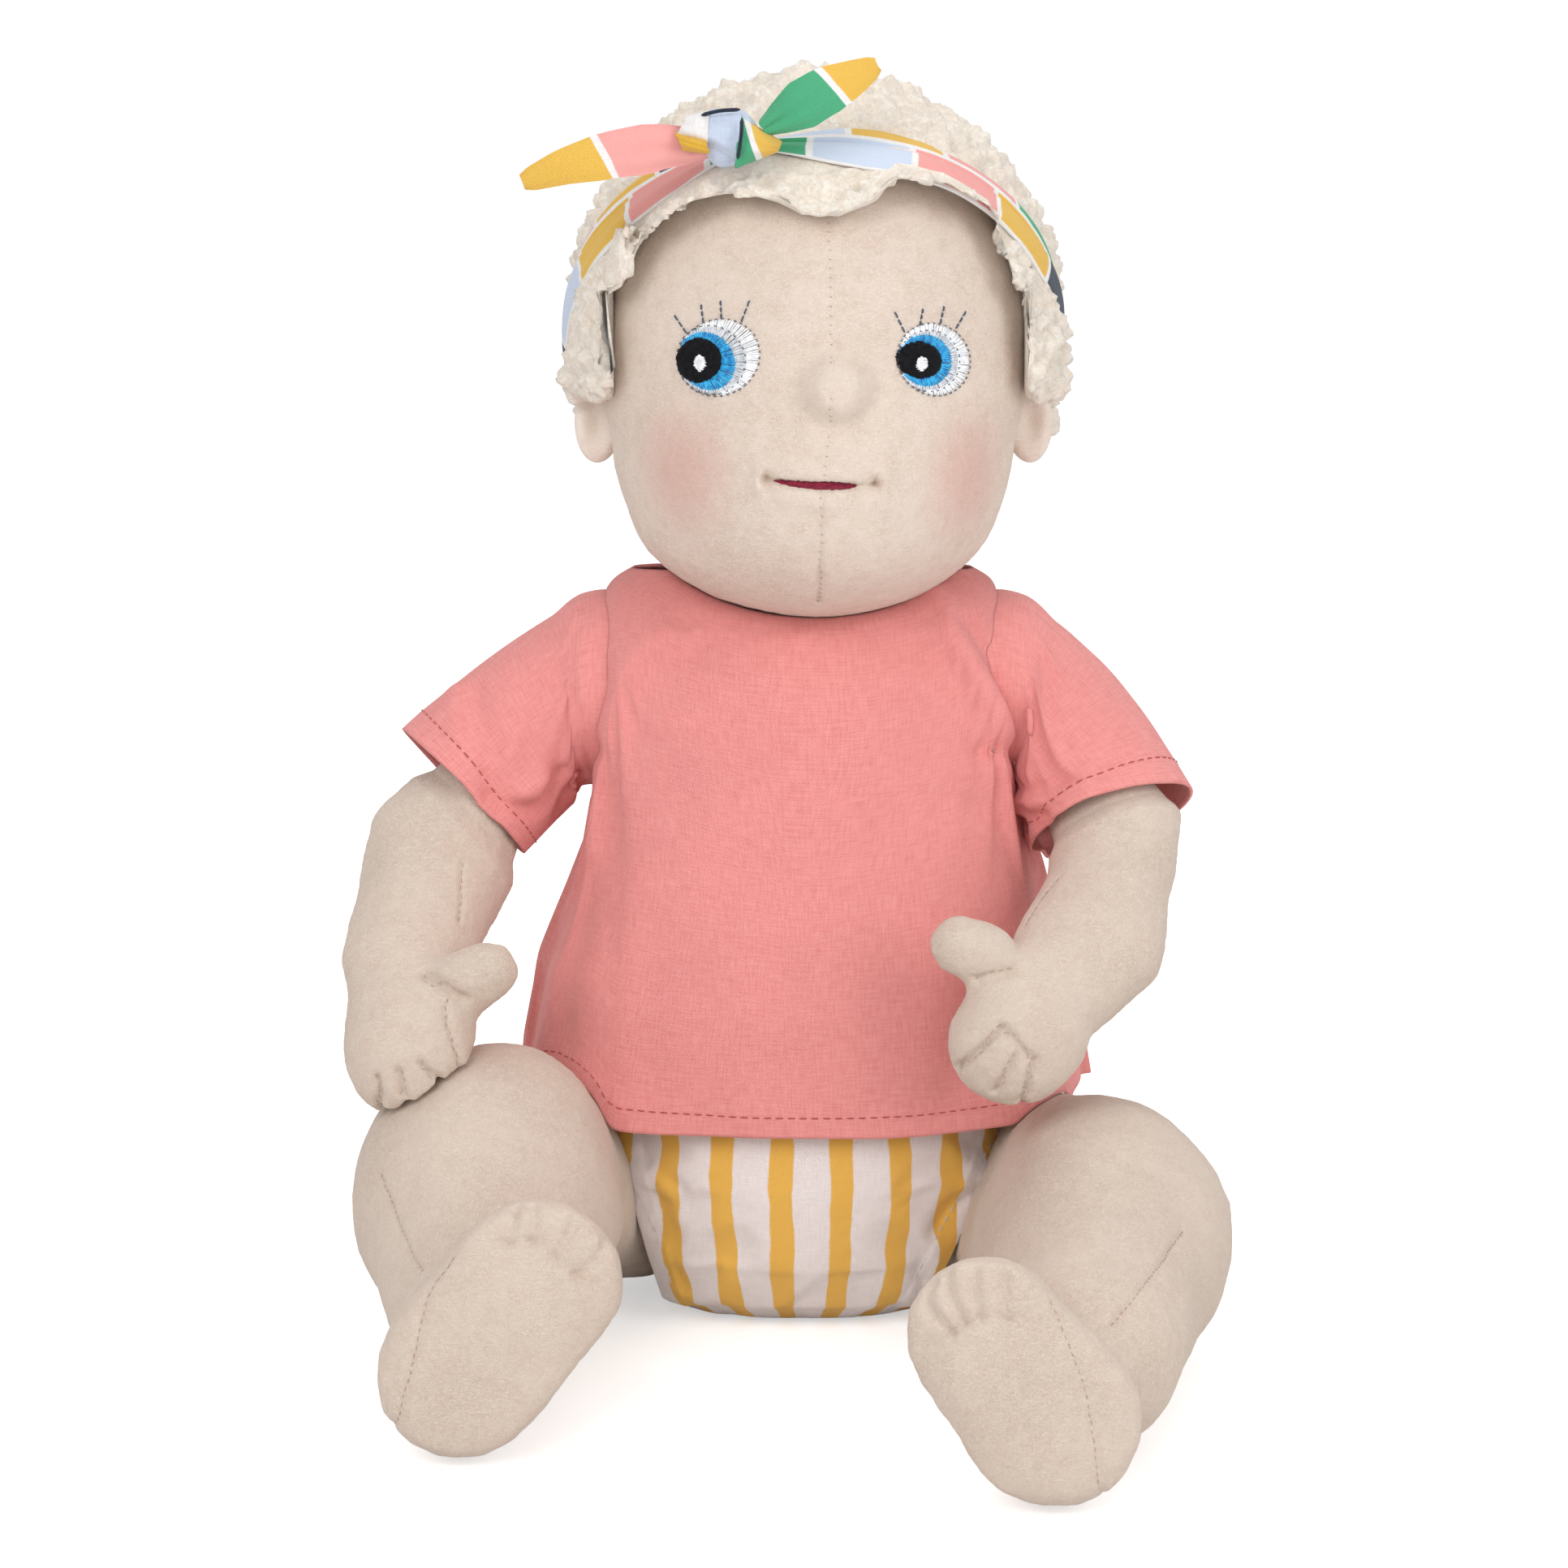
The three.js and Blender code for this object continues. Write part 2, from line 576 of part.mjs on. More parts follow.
function ball(at, radii, around, rings) {
  const shape = new THREE.SphereGeometry(1, around, rings).rotateX(Math.PI / 2);
  shape.scale(radii[0], radii[1], radii[2]);
  shape.translate(at[0], at[1], at[2]);
  return solidOf(shape);
}

// The mouth is a slit with a lining sewn in
const mouth_at = [mouth.at[0], faceDepth(mouth.at[0], mouth.at[1]), mouth.at[1]];
const slit = ball(mouth_at, [mouth.half_width, mouth.depth, mouth.half_height], 18, 8);
const lining_size = [mouth.half_width, mouth.depth, mouth.half_height].map((r) => r - seam_gap);
const lips = halfSpace([0, mouth_at[1] + seam_gap, 0], [0, 1, 0]);
put(doll, "mouth_lining", ball(mouth_at, lining_size, 18, 8).intersect(lips), crimson, 0.9);
const noseBall = ball(nose.at, nose.radii, 14, 10);
const hollow = neckDome(neck_radius + seam_gap);
put(doll, "head", skull.add(noseBall).subtract(hollow).subtract(slit), felt, 0.95);

// Ears and hair lie on the skull with the seam gap; the fleece cap is cut away for the face and the ears
const capSize = { around: 28, along: 6, cap: 6 };
const skin_room = stuffedSkin((p) => skullField(p) - edge_slack / 2, head_core, leftward, capSize);
const earShape = (side, grow) => ball(
  [head_x + side * ear.stand_out, ear.back, ear_height],
  [ear.half_width + grow, ear.half_depth + grow, ear.half_height + grow], 14, 10);
put(doll, "right_ear", earShape(-1, 0).subtract(skin_room), felt, 0.95);
put(doll, "left_ear", earShape(1, 0).subtract(skin_room), felt, 0.95);

const hairField = (p) => skullField(p) - hair_thickness;
const face_ends = [hair_front_end - face_reach, hair_front_end];
const face_rows = face_ends.map((y) => Array.from({ length: face_sides }, (_, j) => {
  const p = ringPoint((turn * j) / face_sides, hairline.half_width, -hairline.half_height, hairline.half_height,
    hairline.squareness);
  return new THREE.Vector3(hairline.x - middle + p.x, y, hairline.z + p.y);
}));
const face_poles = face_ends.map((y) => new THREE.Vector3(hairline.x, y, hairline.z));
const face_prism = solidOf(gridGeometry(face_rows, face_poles));
const under_sideburns = halfSpace([0, 0, sideburn_bottom], [0, 0, -1])
  .subtract(halfSpace([0, ear.back + ear.half_depth, 0], [0, 1, 0]));
const hair = stuffedSkin(hairField, head_core, leftward, capSize)
  .subtract(skin_room)
  .subtract(face_prism)
  .subtract(under_sideburns)
  .subtract(earShape(-1, edge_slack / 2))
  .subtract(earShape(1, edge_slack / 2))
  .subtract(halfSpace([0, nape.y, nape.z], [0, -nape.rise, -1]));
put(doll, "hair", hair, fleece, 1);

// Embroidery: thin patches that follow the face
function facePoint(x, z, lift) {
  return new THREE.Vector3(x, faceDepth(x, z) - lift, z);
}

function facePatch(centre, outline, rings, low, high) {
  const ringAt = (share, lift) => outline.map(([x, z]) => {
    const px = THREE.MathUtils.lerp(centre[0], x, share);
    const pz = THREE.MathUtils.lerp(centre[1], z, share);
    return facePoint(px, pz, lift);
  });
  const shares = Array.from({ length: rings }, (_, i) => (i + 1) / rings);
  const rows = [...shares.map((s) => ringAt(s, high)), ...shares.reverse().map((s) => ringAt(s, low))];
  const poles = [facePoint(centre[0], centre[1], high), facePoint(centre[0], centre[1], low)];
  return solidOf(gridGeometry(rows, poles));
}

function oval(shape, grow, sides) {
  return Array.from({ length: sides }, (_, i) => {
    const a = (turn * i) / sides;
    return [shape.x + (shape.rx + grow) * Math.cos(a), shape.z + (shape.rz + grow) * Math.sin(a)];
  });
}

function ovalPatch(shape, sides, rings) {
  return facePatch([shape.x, shape.z], oval(shape, 0, sides), rings, seam_gap, seam_gap + thread);
}

function ovalHole(shape, sides) {
  const outline = oval(shape, seam_gap, sides);
  const rows = [-110, -10].map((y) => outline.map(([x, z]) => new THREE.Vector3(x, y, z)));
  const poles = [-110, -10].map((y) => new THREE.Vector3(shape.x, y, shape.z));
  return solidOf(gridGeometry(rows, poles));
}

function lashPatch([x1, z1, x2, z2]) {
  const from = new THREE.Vector2(x1, neck_seam + z1);
  const to = new THREE.Vector2(x2, neck_seam + z2);
  const across = to.clone().sub(from).rotateAround(new THREE.Vector2(), Math.PI / 2).setLength(lash_width / 2);
  const start = [from.clone().add(across), from.clone().sub(across)];
  const end = [to.clone().sub(across), to.clone().add(across)];
  const outline = [...start, ...end];
  const centre = from.clone().add(to).multiplyScalar(0.5);
  return facePatch(centre.toArray(), outline.map((p) => p.toArray()), 1, seam_gap, seam_gap + thread);
}

const white_sides = 16;
const iris_sides = 14;
const pupil_sides = 12;
const glint_sides = 8;
for (const [name, eye] of [["right", right_eye], ["left", left_eye]]) {
  const rim = facePatch([eye.white.x, eye.white.z], oval(eye.white, eye_outline + seam_gap, white_sides), 1,
    seam_gap, seam_gap + thread);
  const hole = ovalHole(eye.white, white_sides).add(ovalHole(eye.iris, iris_sides));
  const around = eye.lashes.map(lashPatch).reduce((all, lash) => all.add(lash), rim).subtract(hole);
  const irisHole = ovalHole(eye.iris, iris_sides);
  put(doll, name + "_lashes", around, thread_grey, 0.6);
  put(doll, name + "_eye_white", ovalPatch(eye.white, white_sides, 2).subtract(irisHole), thread_white, 0.5);
  const iris = ovalPatch(eye.iris, iris_sides, 2).subtract(ovalHole(eye.pupil, pupil_sides));
  put(doll, name + "_iris", iris, thread_blue, 0.5);
  const pupil = ovalPatch(eye.pupil, pupil_sides, 1).subtract(ovalHole(eye.glint, glint_sides));
  put(doll, name + "_pupil", pupil, thread_black, 0.5);
  put(doll, name + "_glint", ovalPatch(eye.glint, glint_sides, 1), thread_white, 0.5);
}

// Headband: a flat band that can be lifted off up and back, with its knot and two tails
const lean = THREE.MathUtils.degToRad(band_lean);
const band_off = new THREE.Vector3(0, Math.cos(lean), Math.sin(lean));
const band_front = new THREE.Vector3(0, -Math.sin(lean), Math.cos(lean));

function bandRow(offset, sides) {
  const samples = 5;
  return Array.from({ length: sides }, (_, j) => {
    const a = (turn * j) / sides;
    const out = leftward.clone().multiplyScalar(Math.cos(a)).addScaledVector(band_front, Math.sin(a));
    const radii = Array.from({ length: samples }, (_, i) => {
      const above = THREE.MathUtils.lerp(offset, band_width, i / (samples - 1));
      const from = vec(band_centre).addScaledVector(band_off, above);
      return reach(hairField, from, out).distanceTo(from);
    });
    return { out, radius: Math.max(...radii) };
  });
}

function bandRing(offset, gap) {
  return bandRow(offset, 40).map(({ out, radius }) =>
    vec(band_centre).addScaledVector(band_off, offset).addScaledVector(out, radius + gap));
}

const band_steps = [-0.5, -0.17, 0.17, 0.5].map((share) => share * band_width);
const inside_rows = band_steps.map((offset) => bandRing(offset, seam_gap * 2));
const outside_rows = band_steps.map((offset) => bandRing(offset, seam_gap * 2 + band_thickness)).reverse();
const band = solidOf(gridGeometry([...inside_rows, ...outside_rows], null));

const knotBall = new THREE.SphereGeometry(1, 16, 12).rotateX(Math.PI / 2);
knotBall.scale(knot.radii[0], knot.radii[1], knot.radii[2]);
knotBall.rotateY(THREE.MathUtils.degToRad(-knot.turn));
knotBall.translate(knot.at[0], knot.at[1], knot.at[2]);
const clear_steps = band_steps.map((offset) => offset * (1 + (seam_gap * 2) / band_width));
const clear_band = solidOf(gridGeometry([
  ...clear_steps.map((offset) => bandRing(offset, 0)),
  ...clear_steps.map((offset) => bandRing(offset, seam_gap * 3 + band_thickness)).reverse()], null));
const knotSolid = solidOf(knotBall).subtract(clear_band);

function tailSolid(tail) {
  const path = new THREE.CatmullRomCurve3(tail.path.map(vec));
  const steps = 9;
  const rows = Array.from({ length: steps - 1 }, (_, i) => {
    const t = (i + 0.4) / steps;
    const tangent = path.getTangentAt(t);
    const thick = back.clone().addScaledVector(tangent, -back.dot(tangent)).normalize();
    const wide = tangent.clone().cross(thick);
    const half = tail.half_width * Math.sin(Math.PI * Math.min(0.18 + 0.62 * t, 0.98 * t + 0.4)) ** 0.9;
    return Array.from({ length: 10 }, (_, j) => {
      const a = (turn * j) / 10;
      return path.getPointAt(t).addScaledVector(wide, half * Math.cos(a))
        .addScaledVector(thick, (tail_thickness / 2) * Math.sin(a));
    });
  });
  return solidOf(gridGeometry(rows, [path.getPointAt(0), path.getPointAt(1)]));
}

const knotRoom = new THREE.SphereGeometry(1, 16, 12).rotateX(Math.PI / 2);
knotRoom.scale(knot.radii[0] + seam_gap, knot.radii[1] + seam_gap, knot.radii[2] + seam_gap);
knotRoom.rotateY(THREE.MathUtils.degToRad(-knot.turn));
knotRoom.translate(knot.at[0], knot.at[1], knot.at[2]);
const around_knot = solidOf(knotRoom).add(clear_band);
put(doll, "headband_band", band, band_white, 0.85);
put(doll, "headband_knot", knotSolid, band_white, 0.85);
put(doll, "headband_right_tail", tailSolid(right_tail).subtract(around_knot), band_white, 0.85);
put(doll, "headband_left_tail", tailSolid(left_tail).subtract(around_knot), band_white, 0.85);

// Shirt: a loose A-line tube over the torso; its hem rests on the thighs
function shirtRows(grow) {
  const around = 36;
  const angle = (j) => (turn * j) / around;
  const hem = Array.from({ length: around }, (_, j) => {
    const a = angle(j);
    const wave = hem_waves.depth * Math.cos(hem_waves.count * a);
    const size = grow + wave;
    const p = ringPoint(a, hem_ring.half_width + size, hem_ring.front - size, hem_ring.back + size,
      hem_ring.squareness);
    const sideways = Math.cos(a) ** 2;
    const lap = lapHeight(p.x, p.y) + edge_slack;
    const hang = hem_ring.height + hem_ring.side_rise * sideways;
    return p.setZ(Math.max(hang, lap) - (grow < 0 ? cloth * 4 : 0));
  });
  const upper = shirt_rings.map(([z, halfWidth, front, rear, squareness], i) => {
    const lift = i === shirt_rings.length - 1 ? grow : 0;
    return Array.from({ length: around }, (_, j) => {
      const a = angle(j);
      const wave = i === 0 ? 0.6 * hem_waves.depth * Math.cos(hem_waves.count * a) : 0;
      const size = grow + wave;
      return ringPoint(a, halfWidth + size, front - size, rear + size, squareness).setZ(z + lift);
    });
  });
  const bottom = new THREE.Vector3(middle, 0, hem_ring.height - cloth);
  const top = new THREE.Vector3(middle, 0, shirt_top + grow);
  const poles = [bottom, top];
  return solidOf(gridGeometry([hem, ...upper], poles));
}

const shirt_outer = shirtRows(0);
const shirt_inner = shirtRows(-cloth);
const neck_hole = ellipticPrism([neck_centre[0], (neckline.front + neckline.back) / 2, shirt_top], "z",
  neckline.half_width, (neckline.back - neckline.front) / 2, neckline.depth * 2, 28);
const armholes = [-1, 1].map((side) => ellipticPrism(
  [middle + side * (shoulder_x + 10), 0, shoulder_height], "x", armhole_radius, armhole_radius, 40, 28));
const shirt = armholes.reduce((rest, hole) => rest.subtract(hole), shirt_outer.subtract(shirt_inner))
  .subtract(neck_hole);
const back_right = halfSpace([middle - seam_gap / 2, 0, 0], [-1, 0, 0]);
const back_left = halfSpace([middle + seam_gap / 2, 0, 0], [1, 0, 0]);
put(doll, "shirt_front", shirt.intersect(frontHalf), coral, 0.9);
put(doll, "shirt_back_right", shirt.intersect(backHalf).intersect(back_right), coral, 0.9);
put(doll, "shirt_back_left", shirt.intersect(backHalf).intersect(back_left), coral, 0.9);

// Back opening: a placket sewn inside the left back laps under the right back, and two tapes hold them together
function backStrip(depth, thickness, low, high, from, to) {
  return shirtRows(-depth).subtract(shirtRows(-depth - thickness))
    .intersect(backHalf)
    .intersect(halfSpace([0, 0, low], [0, 0, 1]))
    .intersect(halfSpace([0, 0, high], [0, 0, -1]))
    .intersect(halfSpace([middle + from, 0, 0], [1, 0, 0]))
    .intersect(halfSpace([middle + to, 0, 0], [-1, 0, 0]));
}

const tape_start = -seam_gap * 2 - tape.width;
const hooks_depth = cloth + seam_gap;
const loops_depth = hooks_depth + tape.thickness + seam_gap;
const placket_depth = loops_depth + tape.thickness + seam_gap;
const hooks = backStrip(hooks_depth, tape.thickness, tape.low, tape.high, tape_start, -seam_gap * 2);
const loops = backStrip(loops_depth, tape.thickness, tape.low, tape.high, tape_start, -seam_gap * 2);
put(doll, "closure_hooks", hooks, hook_white, 0.9);
put(doll, "closure_loops", loops, hook_white, 0.9);
const placket_strip = backStrip(placket_depth, placket.thickness, placket.low, placket.high,
  -placket.half_width, placket.half_width);
put(doll, "shirt_placket", placket_strip, coral, 0.9);

// Sleeves
for (const [name, arm] of [["right", right_arm], ["left", left_arm]]) {
  const rows = [...sleeveRows(arm, 0), ...sleeveRows(arm, cloth).reverse()];
  put(doll, name + "_sleeve", solidOf(gridGeometry(rows, null)), coral, 0.9);
}

// The object's origin is under the middle of its box, on the surface it sits on
doll.updateMatrixWorld(true);
const box = new THREE.Box3().setFromObject(doll);
const centre = box.getCenter(new THREE.Vector3());
doll.position.set(-centre.x, -centre.y, -box.min.z);

export default doll;
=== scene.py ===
# %% [markdown]
# # A soft baby doll, sewn, stuffed and dressed in Blender
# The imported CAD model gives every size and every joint. This script makes what a hand would make over it:
# felt skins that swell between their seams, curly fleece hair, embroidered eyes, and cotton clothes that
# hang. All places are drafted in millimetres from the middle of the doll's seat, and turned into metres in
# one place.

import json
import math
import random

import bpy
import numpy as np
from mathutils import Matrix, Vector, noise
from mathutils.bvhtree import BVHTree

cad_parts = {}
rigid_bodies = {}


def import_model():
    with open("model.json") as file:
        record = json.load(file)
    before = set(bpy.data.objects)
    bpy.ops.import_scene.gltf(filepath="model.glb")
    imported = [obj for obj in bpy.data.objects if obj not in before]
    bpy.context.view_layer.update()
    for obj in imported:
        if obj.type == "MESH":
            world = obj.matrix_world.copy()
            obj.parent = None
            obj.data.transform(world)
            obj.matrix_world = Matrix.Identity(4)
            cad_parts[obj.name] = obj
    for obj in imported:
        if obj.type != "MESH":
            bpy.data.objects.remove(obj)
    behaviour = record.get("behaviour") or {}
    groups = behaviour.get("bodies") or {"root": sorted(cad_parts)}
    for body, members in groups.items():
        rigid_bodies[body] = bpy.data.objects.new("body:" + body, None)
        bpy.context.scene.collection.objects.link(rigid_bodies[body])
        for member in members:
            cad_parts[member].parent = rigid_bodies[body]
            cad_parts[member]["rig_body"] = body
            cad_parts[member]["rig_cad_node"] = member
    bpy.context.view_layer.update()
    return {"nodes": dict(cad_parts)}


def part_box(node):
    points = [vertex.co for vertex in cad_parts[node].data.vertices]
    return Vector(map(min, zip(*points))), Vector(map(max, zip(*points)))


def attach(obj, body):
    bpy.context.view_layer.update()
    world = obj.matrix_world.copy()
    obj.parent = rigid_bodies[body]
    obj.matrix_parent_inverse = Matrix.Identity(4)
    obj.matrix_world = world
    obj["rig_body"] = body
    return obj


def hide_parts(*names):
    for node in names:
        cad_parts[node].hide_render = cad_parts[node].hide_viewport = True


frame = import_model()

# %% [markdown]
# The neck is a dome on its own axis, so its box says where the draft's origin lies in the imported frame. The
# body's middle lies a millimetre beside that origin.

# %% Draft to frame
NECK_X, NECK_Y, NECK_SEAM = 4.0, 2.0, 184.3
MIDDLE = 1.0
SIDES = (("right", -1), ("left", 1))
neck_low, neck_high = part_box("neck")
ORIGIN = np.array([(neck_low.x + neck_high.x) / 2 - NECK_X / 1000,
                   (neck_low.y + neck_high.y) / 2 - NECK_Y / 1000, 0.0])


def place(points):
    """Draft millimetres to frame metres, for one point or many."""
    return np.asarray(points, float) / 1000 + ORIGIN


def draft(points):
    """Frame metres to draft millimetres."""
    return (np.asarray(points, float) - ORIGIN) * 1000


print("draft origin", ORIGIN.round(4))

# %% [markdown]
# The camera stands where the photograph was taken from: 1.3 metres away and 11 degrees above the doll's
# middle. It is worked out here, before anything is modelled, because a seam or a fold that is seen in the
# picture is then found on its piece by a line of sight, and lies on the surface from every side.

# %% Lines of sight
TARGET = place((-4, 0, 140))
DISTANCE, ELEVATION = 1.3, math.radians(11)
PICTURE = 1932  # pixels from side to side
PIXEL = 0.000222  # metres at the target
LOOK_UP = np.array([0, math.sin(ELEVATION), math.cos(ELEVATION)])
LOOK_IN = np.array([0, math.cos(ELEVATION), -math.sin(ELEVATION)])
EYE_POINT = TARGET - LOOK_IN * DISTANCE


def sight(column, row):
    """The direction of the line of sight through a place in the picture."""
    aside = np.array([1.0, 0, 0]) * (column - PICTURE / 2) * PIXEL
    ray = LOOK_IN * DISTANCE + aside + LOOK_UP * (PICTURE / 2 - row) * PIXEL
    return ray / np.linalg.norm(ray)


def spotted(tree, column, row):
    """Where a line of sight first meets a surface, or the nearest place of the surface to it."""
    ray = sight(column, row)
    hit, _, _, _ = tree.ray_cast(Vector(EYE_POINT), Vector(ray))
    if hit is None:
        middle = EYE_POINT + ray * DISTANCE
        for _ in range(8):
            hit, _, _, _ = tree.find_nearest(Vector(middle))
            middle = EYE_POINT + ray * ((np.array(hit) - EYE_POINT) @ ray)
    return np.array(hit)


def traced(piece, places, step=0.0012, tree=None):
    """A fine line on a piece, from places in the picture."""
    tree = tree or tree_of(piece)
    line = fine_line([spotted(tree, *spot) for spot in places], step)
    return np.array([tree.find_nearest(Vector(p))[0] for p in line])


# %% [markdown]
# Numbers for whole meshes are read and written in one go, which is how a script sculpts: it takes all the
# points, moves them by a rule, and puts them back.

# %% Mesh helpers


def only(piece):
    bpy.ops.object.select_all(action="DESELECT")
    piece.select_set(True)
    bpy.context.view_layer.objects.active = piece


def points_of(piece):
    flat = np.empty(len(piece.data.vertices) * 3)
    piece.data.vertices.foreach_get("co", flat)
    return flat.reshape(-1, 3)


def normals_of(piece):
    flat = np.empty(len(piece.data.vertices) * 3)
    piece.data.vertices.foreach_get("normal", flat)
    return flat.reshape(-1, 3)


def set_points(piece, points):
    piece.data.vertices.foreach_set("co", np.asarray(points, np.float32).ravel())
    piece.data.update()


def grow(piece, amount):
    """Moves each point out along its normal, by one amount or by each point's own."""
    set_points(piece, points_of(piece) + normals_of(piece) * np.reshape(amount, (-1, 1)))


def new_piece(name, add, **settings):
    """A new mesh from one of Blender's own forms."""
    bpy.ops.object.select_all(action="DESELECT")
    add(**settings)
    piece = bpy.context.object
    piece.name = name
    return piece


def modify(piece, kind, **settings):
    """Adds a modifier, sets it and applies it."""
    only(piece)
    modifier = piece.modifiers.new(kind.lower(), kind)
    for key, value in settings.items():
        setattr(modifier, key, value)
    bpy.ops.object.modifier_apply(modifier=modifier.name)


def subdivide(piece, levels):
    modify(piece, "SUBSURF", levels=levels, render_levels=levels)


def merge(piece, nearest):
    """Joins points that lie nearer to each other than this."""
    only(piece)
    bpy.ops.object.mode_set(mode="EDIT")
    bpy.ops.mesh.select_all(action="SELECT")
    bpy.ops.mesh.remove_doubles(threshold=nearest)
    bpy.ops.object.mode_set(mode="OBJECT")


def smooth_shaded(piece):
    only(piece)
    bpy.ops.object.shade_smooth()


def relax(piece, passes, free=None):
    """Smooths without shrinking: each pass pulls a point to its neighbours, then pushes it back out."""
    edges = np.empty(len(piece.data.edges) * 2, int)
    piece.data.edges.foreach_get("vertices", edges)
    a, b = edges[0::2], edges[1::2]
    points = points_of(piece)
    count = len(points)
    degree = np.bincount(a, minlength=count) + np.bincount(b, minlength=count)
    share = np.ones(count) if free is None else free
    for step in (0.5, -0.52) * passes:
        middle = np.stack([np.bincount(a, points[b, k], count) + np.bincount(b, points[a, k], count)
                           for k in range(3)], 1)
        points = points + (step * share)[:, None] * (middle / degree[:, None] - points)
    set_points(piece, points)


def tree_of(piece):
    mesh = piece.data
    return BVHTree.FromPolygons([v.co[:] for v in mesh.vertices], [p.vertices[:] for p in mesh.polygons])


def line_distance(points, line):
    """Distance from each point to a line through several points."""
    nearest = np.full(len(points), 1e9)
    for start, end in zip(line[:-1], line[1:]):
        along = end - start
        share = np.clip(((points - start) @ along) / max(along @ along, 1e-12), 0, 1)
        nearest = np.minimum(nearest, np.linalg.norm(points - (start + share[:, None] * along), axis=1))
    return nearest


def near_line(piece, line, width):
    """A share for each point: 1 on the line, and nearly 0 at twice the width from it."""
    return np.exp(-(line_distance(points_of(piece), line) / width) ** 2)


def walked(line):
    """How far along a line each of its points lies."""
    return np.r_[0, np.cumsum(np.linalg.norm(np.diff(line, axis=0), axis=1))]


def read_off(at, known, rows):
    """Rows of numbers read off between the known ones."""
    return np.stack([np.interp(at, known, column) for column in rows.T], 1)


def evened(values, passes):
    """Draws each value towards its two neighbours. The first and the last stay."""
    for _ in range(passes):
        values[1:-1] = (values[:-2] + 2 * values[1:-1] + values[2:]) / 4
    return values


def fine_line(line, step=0.0015):
    """The same line as a smooth curve with many points."""
    line = np.asarray(line, float)
    lengths = walked(line)
    at = np.linspace(0, lengths[-1], max(int(lengths[-1] / step), 4))
    return evened(read_off(at, lengths, line), 6)


def crease(piece, line, depth, width):
    """Draws a seam or a fold in: points near the line sink along their normals."""
    grow(piece, -depth * near_line(piece, line, width))


def press(piece, marks):
    """Draws many marks in together, each a list of picture places, a depth and a width in millimetres.
    Where marks cross, the deepest counts, so that no pit forms. A negative depth raises a ridge."""
    tree, lines, sunk, raised = tree_of(piece), [], 0, 0
    for places, depth, width in marks:
        lines.append(traced(piece, places, tree=tree))
        near = near_line(piece, lines[-1], width / 1000) * depth / 1000
        sunk, raised = np.maximum(sunk, near), np.minimum(raised, near)
    grow(piece, -(sunk + raised))
    return lines


def blobs(points, size, seed):
    """Soft noise from -1 to 1 at each point."""
    offset = Vector((seed * 3.1, seed * 1.7, seed * 2.3))
    return np.array([noise.noise(Vector(p) / size + offset) for p in points])


def pile(points):
    """The rough pile of felt: small tufts, and finer ones on them."""
    return blobs(points, 0.0032, 21) * 0.00013 + blobs(points, 0.0015, 22) * 0.00012


# %% [markdown]
# Stuffed felt starts from the solid that stands for it. The copy is merged, remeshed into even squares and
# relaxed, so that its facets go. Cloth pressure then blows it up against the points that its seams hold, as
# stuffing does.

# %% Stuffed skins


CLOTH = {
    "quality": 6, "mass": 0.15, "tension_stiffness": 15, "compression_stiffness": 15, "shear_stiffness": 7.5,
    "tension_damping": 8, "compression_damping": 8, "air_damping": 3, "vertex_group_mass": "held",
}
CLOTH_GAP, CLOTH_FRICTION = 0.0007, 3


def copy_of(name, *nodes):
    """One new mesh from copies of CAD nodes, with their loose triangles merged."""
    bpy.ops.object.select_all(action="DESELECT")
    copies = []
    for node in nodes:
        twin = frame["nodes"][node].copy()
        twin.data = frame["nodes"][node].data.copy()
        twin.parent = None
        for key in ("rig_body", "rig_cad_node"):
            if key in twin:
                del twin[key]
        bpy.context.scene.collection.objects.link(twin)
        twin.hide_render = twin.hide_viewport = False
        twin.select_set(True)
        copies.append(twin)
    bpy.context.view_layer.objects.active = copies[0]
    if len(copies) > 1:
        bpy.ops.object.join()
    piece = bpy.context.view_layer.objects.active
    piece.name = name
    piece.data.materials.clear()
    merge(piece, 1e-6)
    return piece


def remeshed(piece, size):
    modify(piece, "REMESH", mode="VOXEL", voxel_size=size, use_smooth_shade=True)


def simulate(piece, held, frames, limit, slack=0.0, pressure=0.0, weight=0.0, colliders=(), bending=0.5):
    """Runs Cloth on a piece and applies it. No point moves further than the limit."""
    before = points_of(piece)
    group = piece.vertex_groups.new(name="held")
    for index, share in enumerate(held):
        if share > 0:
            group.add([index], float(share), "REPLACE")
    only(piece)
    modifier = piece.modifiers.new("cloth", "CLOTH")
    cloth = modifier.settings
    for key, value in CLOTH.items():
        setattr(cloth, key, value)
    cloth.bending_stiffness = bending
    cloth.shrink_min = -slack
    cloth.effector_weights.gravity = weight
    cloth.use_pressure = pressure > 0
    cloth.uniform_pressure_force = pressure
    modifier.collision_settings.use_collision = bool(colliders)
    modifier.collision_settings.distance_min = CLOTH_GAP
    modifier.point_cache.frame_start = 1
    modifier.point_cache.frame_end = frames
    for solid in colliders:
        only(solid)
        solid.modifiers.new("collision", "COLLISION")
        solid.collision.thickness_outer = CLOTH_GAP
        solid.collision.cloth_friction = CLOTH_FRICTION
    for number in range(1, frames + 1):
        bpy.context.scene.frame_set(number)
    only(piece)
    bpy.ops.object.modifier_apply(modifier="cloth")
    bpy.context.scene.frame_set(1)
    for solid in colliders:
        solid.modifiers.remove(solid.modifiers["collision"])
    piece.vertex_groups.clear()
    moved = points_of(piece) - before
    moved[~np.isfinite(moved)] = 0
    length = np.linalg.norm(moved, axis=1)
    print(piece.name, "cloth moved up to", round(float(length.max()) * 1000, 1), "mm")
    moved *= (np.minimum(length, limit) / np.maximum(length, 1e-9))[:, None]
    set_points(piece, before + moved)


# %% [markdown]
# Thread is drawn as curves with a round bevel, then made a mesh: many short runs, each with pinched ends.

# %% Thread


